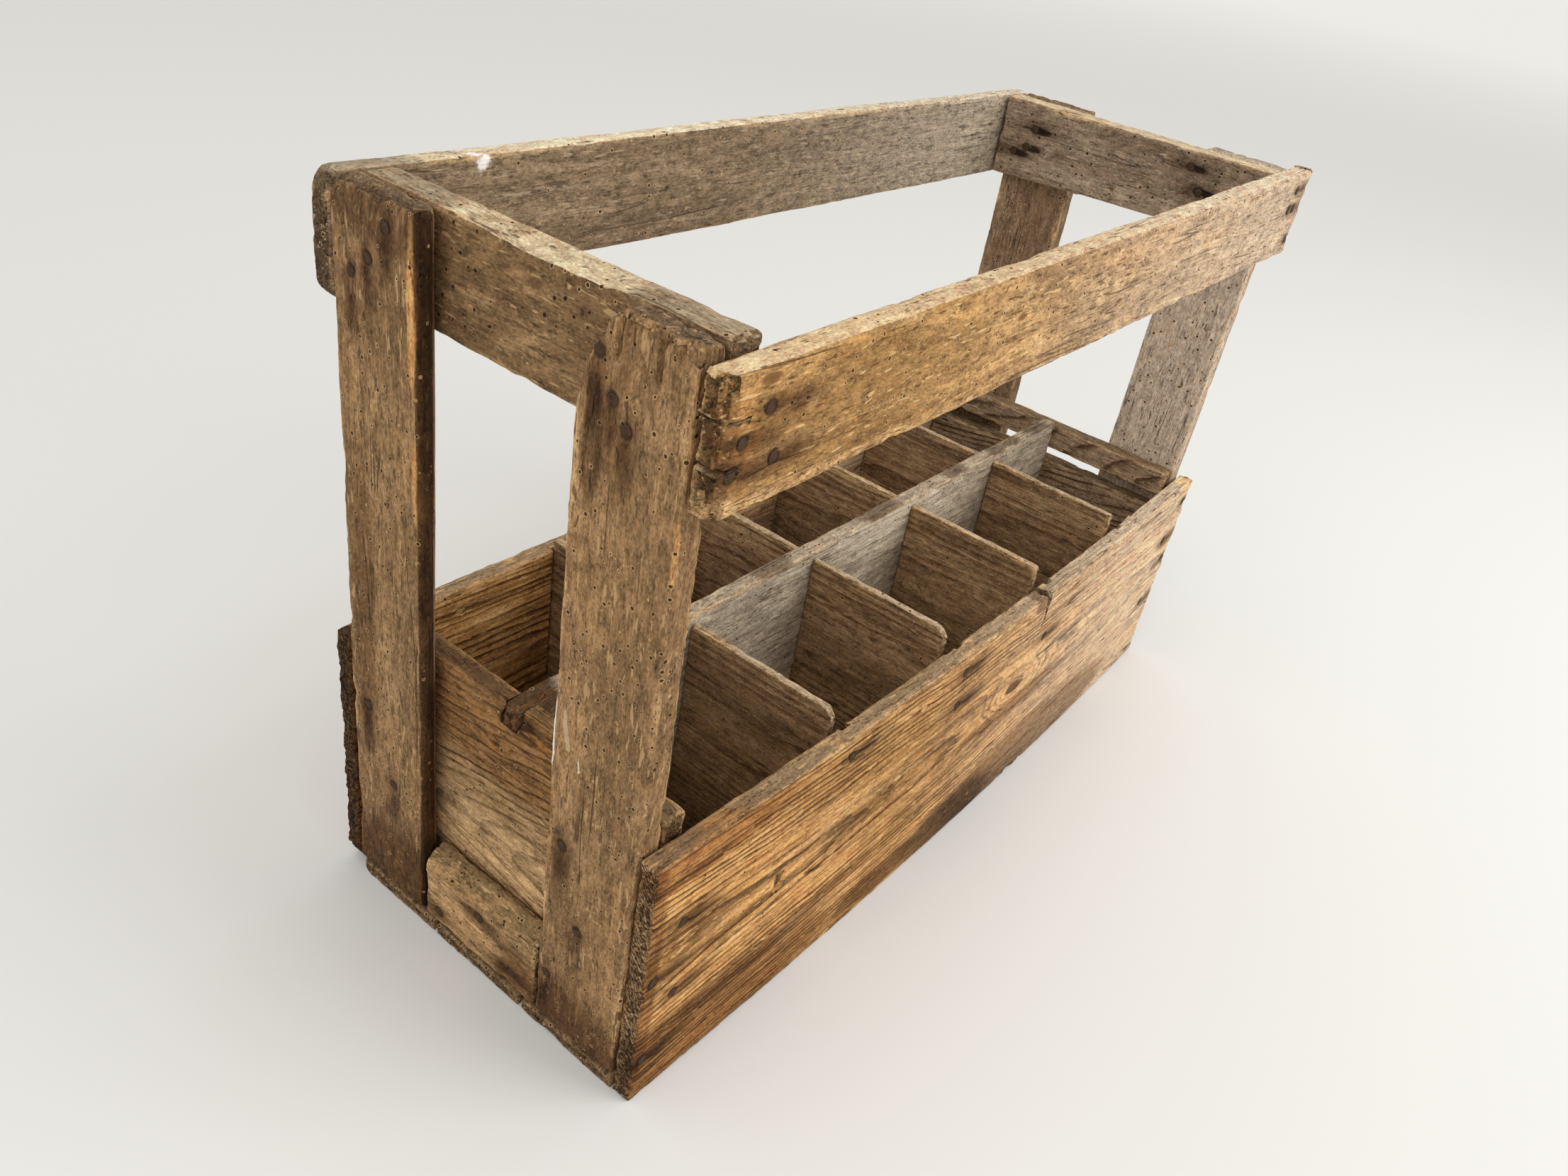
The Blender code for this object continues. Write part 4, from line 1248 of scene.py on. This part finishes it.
# %% Marks on the near end
LINE_X, WHITE = -0.3195, (246, 238, 222)  # a white line on the near front post's worn arris
MARKS |= {
    "near_back_post": {
        "cracks": [((END_X, 0.0600, 0.4249), (END_X, 0.0645, 0.3900), 0.0006),
                   ((-0.3120, 0.0480, 0.4249), (-0.3110, 0.0480, 0.300), 0.0009),
                   ((-0.3036, 0.110, 0.4249), (-0.3036, 0.050, 0.4249), 0.0010)],
        "tints": [((-0.3120, 0.0470, 0.22), (0.2, 0.0042, 2.0), (120, 108, 98), 1.0),
                  ((END_X, 0.070, 0.42), (0.01, 0.05, 0.02), (150, 136, 122), 0.6),
                  ((END_X, 0.070, 0.0), (0.02, 0.06, 0.068), (150, 134, 118), 0.85),
                  ((END_X, 0.095, 0.20), (0.01, 0.010, 0.10), (186, 168, 152), 0.6)],
        "spots": [((END_X, 0.0525, 0.381), (0.006, 0.0034, 0.042), (208, 154, 94), 0.85),
                  ((END_X, 0.0515, 0.296), (0.006, 0.0022, 0.024), (208, 154, 94), 0.75)]},
    "near_front_post": {
        "cracks": [((END_X, -0.0795, 0.4249), (END_X, -0.0825, 0.3985), 0.0011),
                   ((END_X, -0.0830, 0.3950), (END_X, -0.0730, 0.3945), 0.0007),
                   ((END_X, -0.0980, 0.3550), (END_X, -0.1085, 0.3530), 0.0006),
                   ((-0.3036, -0.110, 0.4249), (-0.3036, -0.050, 0.4249), 0.0013),
                   ((END_X, -0.0608, 0.4249), (END_X, -0.0615, 0.4100), 0.0006),
                   ((END_X, -0.0906, 0.4249), (END_X, -0.0900, 0.4040), 0.0007)],
        "spots": [((END_X, -0.1085, 0.338), (0.004, 0.0011, 0.018), TORN, 0.7),
                  ((END_X, -0.1000, 0.110), (0.004, 0.0030, 0.040), (166, 128, 84), 0.4)],
        "tints": [((END_X, -0.060, 0.365), (0.01, 0.006, 0.030), (120, 104, 92), 0.7),
                  ((END_X, -0.080, 0.0), (0.02, 0.05, 0.055), (160, 142, 126), 0.8)],
        "scratches": [((LINE_X, -0.0490, 0.2396), (LINE_X, -0.0490, 0.2180), 0.0020, WHITE, 0.95),
                      ((LINE_X, -0.0490, 0.2180), (LINE_X, -0.0490, 0.1930), 0.0024, WHITE, 0.95),
                      ((END_X, -0.0560, 0.2280), (END_X, -0.0600, 0.2080), 0.0022, (214, 192, 158), 0.5),
                      ((END_X, -0.0670, 0.2060), (END_X, -0.0680, 0.1990), 0.0009, (240, 226, 204), 0.9),
                      ((END_X, -0.0620, 0.176), (END_X, -0.0625, 0.162), 0.0008, PALE, 0.8),
                      ((END_X, -0.0900, 0.140), (END_X, -0.0910, 0.128), 0.0006, PALE, 0.6),
                      ((END_X, -0.0750, 0.060), (END_X, -0.0780, 0.052), 0.0006, PALE, 0.6)]},
    "near_top_rail": {
        "knots": [((RAIL_X, -0.0040, 0.4100), 0.0032)],
        "cracks": [((RAIL_X, 0.045, 0.382), (RAIL_X, -0.02, 0.374), 0.0005)],
        "spots": [((-0.295, 0.095, 0.425), (0.03, 0.046, 0.010), (98, 82, 62), 0.6),
                  ((-0.295, -0.090, 0.425), (0.03, 0.040, 0.010), (108, 90, 68), 0.6)],
        "scratches": [((RAIL_X, 0.0380, 0.3880), (RAIL_X, 0.0375, 0.3850), 0.0010, PALE, 0.9),
                      ((RAIL_X, 0.0330, 0.3890), (RAIL_X, 0.0300, 0.3900), 0.0006, PALE, 0.8)]},
    "near_end_board": {
        "knots": [((RAIL_X, 0.010, 0.155), 0.0022)],
        "cracks": [((RAIL_X, -0.0060, 0.1700), (RAIL_X, -0.046, 0.1600), 0.0008)],
        "spots": [((RAIL_X, -0.0220, 0.1742), (0.008, 0.013, 0.0016), TORN, 0.65),
                  ((RAIL_X, -0.005, 0.176), (0.010, 0.016, 0.006), (60, 46, 32), 0.7),
                  ((RAIL_X, 0.012, 0.152), (0.008, 0.0034, 0.0026), TORN, 0.75),
                  ((RAIL_X, 0.0, 0.085), (0.01, 0.09, 0.022), (206, 172, 130), 0.22)],
        "tints": [((RAIL_X, 0.0, 0.168), (0.02, 0.12, 0.045), (190, 168, 144), 0.85)]},
    "near_batten": {
        "tints": [((END_X, -0.034, 0.016), (0.02, 0.020, 0.030), (166, 148, 132), 0.8)],
        "spots": [((END_X, 0.002, 0.034), (0.01, 0.008, 0.0016), PALE, 0.7)]},
}
print("marked boards:", len(MARKS))

# %% Marks inside and at the back
FAR_RAIL_X = 0.2832
MARKS |= {
    "far_top_rail": {
        "cracks": [((FAR_RAIL_X, 0.0900, 0.4050), (FAR_RAIL_X, 0.062, 0.4060), 0.0014),
                   ((FAR_RAIL_X, 0.0960, 0.3890), (FAR_RAIL_X, 0.072, 0.3900), 0.0013)],
        "spots": [((FAR_RAIL_X, y, z), (0.01, 0.010, 0.0030), BLACKENED, 0.9) for y, z in
                  ((0.075, 0.405), (0.0791, 0.3912), (0.089, 0.3854), (-0.0538, 0.4122), (-0.0653, 0.3971))]},
    "back_side_board": {
        "tints": [((-0.3205, 0.117, 0.09), (0.008, 0.03, 0.6), (126, 112, 98), 1.0)]},
    "centre_divider": {
        "spots": [((0.10, 0.0, 0.187), (0.30, 0.02, 0.012), GREYED, 0.4)],
        "tints": [((-0.3000, 0.0, 0.180), (0.035, 0.03, 0.030), (140, 118, 96), 1.0)]
                 + [((x, 0.0, 0.187), (reach, 0.02, 0.0030), (134, 118, 102), 0.7) for x, reach in
                    ((-0.20, 0.030), (-0.09, 0.020), (0.03, 0.028), (0.13, 0.016), (0.205, 0.026),
                     (0.26, 0.018))]},
    "back_top_rail": {
        "scratches": [((-0.2320, 0.1103, 0.4225), (-0.2335, 0.1103, 0.4195), 0.0046, (246, 242, 234), 1.0),
                      ((-0.2320, 0.1103, 0.4240), (-0.2390, 0.1140, 0.4250), 0.0026, (246, 242, 234), 1.0),
                      ((-0.2370, 0.1125, 0.4250), (-0.2420, 0.1150, 0.4250), 0.0018, (246, 242, 234), 0.9)],
        "spots": [((-0.3060, 0.118, 0.425), (0.040, 0.03, 0.010), (108, 90, 68), 0.65)]},
}
print("marks in all:", sum(len(kind) for marks in MARKS.values() for kind in marks.values()))

# %% [markdown]
# ## The table of boards
#
# One table says what each board is: the slot that its material belongs to, its look, and how its
# wear differs from the usual. Stout posts are chipped, thin dividers only a little, the battens
# at the floor are rough, and the back rail has been smoothed by hands.

# %% Table of boards
STOUT = {"arris": 0.0026, "chips": 0.0017}
CARVED_TOP = {**STOUT, "fine": 0.0014}
THIN = {"chips": 0.0014, "reach": 0.003, "wander": 0.0004, "nibble": 0.0005, "grain": 0.0003,
        "arris": 0.0009, "fissures": 0.0005}
ROUGH = {"chips": 0.0022, "reach": 0.009, "arris": 0.0030}
RAILS = {"fissures": 0.0022, "arris": 0.0030, "chips": 0.0016}
SMOOTHED = {"fissures": 0.0008, "arris": 0.0034, "chips": 0.0015}
SIDES = {"grain": 0.0008}
SAWN = {**SIDES, "fine": 0.0015, "sawn": True}
BOARDS = {
    "near_front_post": ("post_wood", POST, CARVED_TOP),
    "near_back_post": ("post_wood", POST, STOUT),
    "far_front_post": ("post_wood", FAR_POST, STOUT),
    "far_back_post": ("post_wood", FAR_BACK, STOUT),
    "front_top_rail": ("rail_wood", RAIL, RAILS),
    "back_top_rail": ("rail_wood", BACK_RAIL, SMOOTHED),
    "near_top_rail": ("rail_wood", END_RAIL, RAILS),
    "far_top_rail": ("rail_wood", FAR_RAIL, STOUT),
    "front_side_board": ("pine_wood", PINE, SAWN),
    "back_side_board": ("pine_wood", PINE, SIDES),
    "near_end_board": ("end_wood", END, {}),
    "far_end_board": ("end_wood", INNER_END_WOOD, {}),
    "far_end_slat": ("end_wood", INNER_END_WOOD, {}),
    "near_batten": ("post_wood", BATTEN, ROUGH),
    "far_batten": ("post_wood", BATTEN, ROUGH),
    **{f"floor_plank_{place}": ("floor_wood", FLOOR, THIN) for place in ("front", "middle", "back")},
    "centre_divider": ("divider_wood", CENTRE, THIN),
    **{f"cross_divider_{n}": ("divider_wood", DIVIDER, THIN) for n in range(1, 5)},
}
print("boards in the table:", len(BOARDS))

# %% [markdown]
# ## More nails than the measured ones
#
# The measured part keeps two nails a joint, but the real joints have three or four, and on the
# inside of the far rail five long nails come through. Their heads only have to show, so they are
# listed here with the board that they are in, the way in, and two coordinates on that face.

# %% Nails in the same joints
FRONT, BACK, NEAR, FAR = Vector((0, 1, 0)), Vector((0, -1, 0)), Vector((1, 0, 0)), Vector((-1, 0, 0))
TACKS = [  # a board, the way in, where its face is, and places on that face
    ("front_side_board", FRONT, -0.1243,
     ((-0.2955, 0.1230), (-0.2955, 0.0700), (0.2955, 0.1240), (0.2955, 0.0615))),
    ("front_top_rail", FRONT, RAIL_FACE,
     ((-0.2870, 0.3790), (-0.3075, 0.3905), (0.2970, 0.4150), (0.3030, 0.4020))),
    ("near_front_post", NEAR, END_X, ((-0.0690, 0.3890), (-0.0750, 0.0940), (-0.0550, 0.0455))),
    ("near_back_post", NEAR, END_X, ((0.0830, 0.3950), (0.0960, 0.1370))),
    ("near_batten", NEAR, END_X, ((-0.0280, 0.0210),)),
    ("far_front_post", FAR, -END_X, ((-0.0700, 0.3930), (-0.0800, 0.1450), (-0.0620, 0.0450))),
    ("far_back_post", FAR, -END_X, ((0.0800, 0.3990), (0.0930, 0.0520))),
    ("far_batten", FAR, -END_X, ((0.0250, 0.0230),)),
    ("back_side_board", BACK, -FACE,
     ((-0.2950, 0.0960), (0.2960, 0.0820), (-0.1690, 0.1500), (0.0670, 0.1440))),
    ("back_top_rail", BACK, -RAIL_FACE, ((-0.2890, 0.3800), (0.2980, 0.4130))),
    ("far_top_rail", NEAR, FAR_RAIL_X, ((0.08, 0.405), (0.0841, 0.3912), (0.094, 0.3854), (-0.0488, 0.4122),
                                        (-0.0603, 0.3971))),
]
tacks = []
for board, inward, face, places in TACKS:
    for u, z in places:
        point = Vector((u, face, z) if inward.y else (face, u, z))
        tacks.append((board, (f"{board}_tack_{len(tacks)}", point, inward)))
print("nails that only show:", len(tacks))

# %% [markdown]
# ## Make every board
#
# The order matters: slices and cuts are made while the board is plain, wear comes on the cut
# board, and only then is the front board bowed and the front rail sloped, because the wear is
# worked out in a straight box. Nails are seated last, on the surface as it then lies.

# %% How a board is shaped
RAIL_HEIGHT = 0.062
RAIL_DROP, RAIL_RISE = 0.005, 0.003  # how far the front rail's ends sit below and above the posts' tops


def shape_board(node, wear):
    """Saw, cut, weather and bend one board. Returns it and the straight box it was made in."""
    low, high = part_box(node)
    if node == "front_side_board":
        low.y += FRONT_BOW
    if node == "front_top_rail":
        low.z, high.z = post_top - RAIL_HEIGHT, post_top
    piece = sawn_board(node + "_wood", low, high, SLICES.get(node, ()), wear["arris"], wear["fine"])
    boxes = cuts_of(node, low, high)
    if boxes or node in WEDGES:
        cut_away(piece, boxes, WEDGES.get(node, ()))
    weather(piece, low, high, wear)
    for box in CARVED.get(node, ()):
        carve(piece, *box)
    press(piece, [(place, Vector(inward), radius, depth)
                  for place, inward, radius, depth in DENTS.get(node, ())])
    points = points_of(piece)
    if wear["sawn"]:
        saw_marks(points, low)
    if node == "front_side_board":
        points[:, 1] -= bow_at(points[:, 0])
    if node == "front_top_rail":
        share = (points[:, 0] - low.x) / (high.x - low.x)
        points[:, 2] += share * RAIL_RISE - (1 - share) * RAIL_DROP
    move_points(piece, points)
    return piece, low, high


print("slope of the front rail, degrees:",
      round(math.degrees(math.atan((RAIL_DROP + RAIL_RISE) / (2 * HALF_LENGTH))), 2))

# %% Every board
SEAT_RADIUS, SEAT_DEPTH = 0.0042, 0.0007
SEED_STEP = 3.7  # between one board's noise and the next one's
triangles = 0
seats = {}  # nail to its place, the way in, and how deep the worn surface lies there
for number, (node, (slot, look, wear)) in enumerate(BOARDS.items()):
    piece, low, high = shape_board(node, {**USUAL_WEAR, **wear})
    heads = heads_in(*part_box(node)) + [tack for board, tack in tacks if board == node]
    for name, point, inward in heads:
        seats[name] = (point, inward, worn_depth(piece, point, inward))
    press(piece, [(point, inward, SEAT_RADIUS, SEAT_DEPTH) for _, point, inward in heads])
    bowed = node == "front_side_board"
    nails = [Vector((point.x, point.y + bowed * bow_at(point.x), point.z)) for _, point, _ in heads]
    finish = wood_finish(node, low, high, look, number * SEED_STEP, MARKS.get(node, {}), nails, bowed)
    dress(piece, node, slot, finish)
    triangles += sum(len(face.vertices) - 2 for face in piece.data.polygons)
print("boards:", len(BOARDS), "triangles:", triangles, "nail heads:", len(seats))

# %% [markdown]
# ## Nails
#
# The nails are hand-driven and rusty: a flat head that the hammer has knocked a little out of
# round, on a plain shank with a point. One is modelled from a cylinder, by insetting its two
# faces and extruding the shank, and serves as the pattern for all.

# %% Model one nail
HEAD, SHANK, LENGTH = 0.0027, 0.0012, 0.030  # radii of the head and the shank, and the nail's length
PLATE, POINT = 0.001, 0.003  # thickness of the head and length of the point
CROWN = ((0.0006, 0.00018), (0.0009, 0.00008))  # width and rise of each ring of the head

bpy.ops.object.select_all(action="DESELECT")
bpy.ops.mesh.primitive_cylinder_add(vertices=14, radius=HEAD, depth=PLATE, location=(0, 0, -PLATE / 2))
nail = bpy.context.object
bpy.ops.object.transform_apply(location=True)
bpy.ops.object.mode_set(mode="EDIT")
bpy.ops.mesh.select_mode(type="FACE")
select_faces(nail, lambda face: face.normal.z > 0.9)
for width, rise in CROWN:
    bpy.ops.mesh.inset(thickness=width)
    bpy.ops.transform.translate(value=(0, 0, rise))
select_faces(nail, lambda face: face.normal.z < -0.9)
bpy.ops.mesh.inset(thickness=HEAD - SHANK)
for length in (LENGTH - PLATE - POINT, POINT):
    bpy.ops.mesh.extrude_region_move(TRANSFORM_OT_translate={"value": (0, 0, -length)})
bpy.ops.transform.resize(value=(0.25, 0.25, 1))
bpy.ops.object.mode_set(mode="OBJECT")
print("nail faces:", len(nail.data.polygons))

# %% [markdown]
# ## Rusty iron
#
# The iron was never painted, so it is all rust: near-black brown with a duller bloom in patches.
# A metal shader would be wrong here, because rust doesn't shine. It is a rough brown with two
# noises, a fine one for the pitted surface, which also makes the bump, and a coarse one.

# %% Rusty iron
rust = Finish(bpy.data.materials.new("rusty iron"))
point = rust.add("ShaderNodeTexCoord", out="Object")
pits, bloom = rust.noise(point, 4.0, 0.7, 900.0), rust.noise(point, 2.0, 0.5, 260.0)
brown = rust.blend(rust.ease(pits, 0.35, 0.65), paint(44, 31, 22), paint(84, 60, 41))
brown = rust.blend(rust.ease(bloom, 0.5, 0.65), brown, paint(70, 52, 38))
bump = rust.add("ShaderNodeBump", None, {"Strength": 0.6, "Distance": 0.0004, "Height": pits})
rust.feed(Base_Color=brown, Roughness=0.55 + 0.3 * pits, Specular_IOR_Level=0.15, Normal=bump)
print("rust nodes:", len(rust.tree.nodes))

# %% [markdown]
# ## A nail at every head
#
# Sixty-seven equal nails would look stamped. Each copy has its own mesh, whose head bulges a
# little out of round, and its own small tilt, from random numbers that start from a fixed seed,
# so that the crate comes out the same each time. A head lies in the dent that it made, so it is
# set to the worn surface.

# %% Copy the nail to every head
TILT = 0.09  # radians
SUNK = 0.0005
chance = np.random.default_rng(7)
for name, (point, inward, depth) in seats.items():
    mesh = nail.data.copy()
    piece = bpy.data.objects.new(name + "_iron", mesh)
    bpy.context.collection.objects.link(piece)
    spots = points_of(piece)
    turn = np.arctan2(spots[:, 1], spots[:, 0])
    bulge = 1 + 0.07 * np.sin(turn * 2 + chance.uniform(0, 6))
    bulge = bulge + 0.04 * np.sin(turn * 3 + chance.uniform(0, 6))
    head = spots[:, 2] > -2 * PLATE
    spots[head, :2] *= bulge[head, None]
    move_points(piece, spots)
    lean, sway = chance.uniform(-TILT, TILT), chance.uniform(-TILT, TILT)
    tilt = Matrix.Rotation(lean, 4, "X") @ Matrix.Rotation(sway, 4, "Y")
    aim = (-inward).to_track_quat("Z", "Y").to_matrix().to_4x4()
    mesh.transform(Matrix.Translation(point + inward * (depth + SUNK)) @ aim @ tilt)
    smooth(piece, SMOOTH_IRON)
    mesh.materials.append(rust.owner)
    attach(piece, "root")
    if name in HEADS:
        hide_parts(name)
bpy.data.objects.remove(nail)
print("nails placed:", len(seats))

# %% [markdown]
# ## A plain floor
#
# The crate is shown on a pale floor, so that nothing competes with it. A small plane would end in
# a hard line behind the crate. This one is very large, and grows a little paler with distance, so
# that it runs into the background.

# %% Floor
FLOOR_SIZE = 120
bpy.ops.object.select_all(action="DESELECT")
bpy.ops.mesh.primitive_plane_add(size=FLOOR_SIZE, location=(0, 0, 0))
floor = bpy.context.object
floor.name = "studio_floor"
pale = Finish(bpy.data.materials.new("studio floor"))
away = pale.vector("LENGTH", pale.add("ShaderNodeTexCoord", out="Object"), out="Value")
pale.feed(Base_Color=pale.blend(pale.ease(away, 2.5, 9.0), paint(225, 224, 221), paint(252, 251, 248)),
          Roughness=0.9)
floor.data.materials.append(pale.owner)
print("floor, metres wide:", FLOOR_SIZE)

# %% [markdown]
# ## Background and light
#
# The photo's light is soft daylight from a window. Most of it comes here from a bright, slightly
# warm sky all round. Straight rays from the camera see a calmer grey instead, so that the
# background isn't burnt out, and a Mix Shader picks between the two by the kind of ray.

# %% World
world = bpy.data.worlds.new("studio")
bpy.context.scene.world = world
sky = Finish(world, "Background")
sky.feed(Color=(1.0, 0.99, 0.97, 1), Strength=0.87)
seen = sky.add("ShaderNodeBackground", None, {"Color": paint(240, 239, 236)})
ray = sky.add("ShaderNodeLightPath", out="Is Camera Ray")
straight = ray.math("MAXIMUM", ray.out("Is Glossy Ray")).math("MAXIMUM", ray.out("Is Transmission Ray"))
either = sky.add("ShaderNodeMixShader", None, {0: straight, 1: Shade(sky, sky.shader.outputs[0]), 2: seen})
sky.plug(sky.tree.nodes["World Output"].inputs[0], either)
print("world nodes:", len(sky.tree.nodes))

# %% [markdown]
# ## Two lamps
#
# A large area lamp in front of the crate's long side stands for the window and gives the soft
# shadows their direction, and a weak one at the near end fills them.

# %% Lamps
def area_light(name, place, size, power, aim=(0, 0, 0.2)):
    bpy.ops.object.light_add(type="AREA", location=place)
    lamp = bpy.context.object
    lamp.name = name
    lamp.data.size = size
    lamp.data.energy = power
    lamp.rotation_euler = (Vector(aim) - Vector(place)).to_track_quat("-Z", "Y").to_euler()


area_light("window", (0.9, -1.9, 1.6), 1.6, 28)
area_light("fill", (-1.8, -0.4, 1.7), 1.4, 9)
bpy.context.scene.view_settings.view_transform = "Standard"

# %% [markdown]
# ## Finish
#
# The empties that stretched the textures have done their work and go.

# %% Remove the stretching empties
for empty in GRAIN_STRETCH + END_STRETCH:
    bpy.data.objects.remove(empty)
print("stretching empties removed:", len(GRAIN_STRETCH + END_STRETCH))
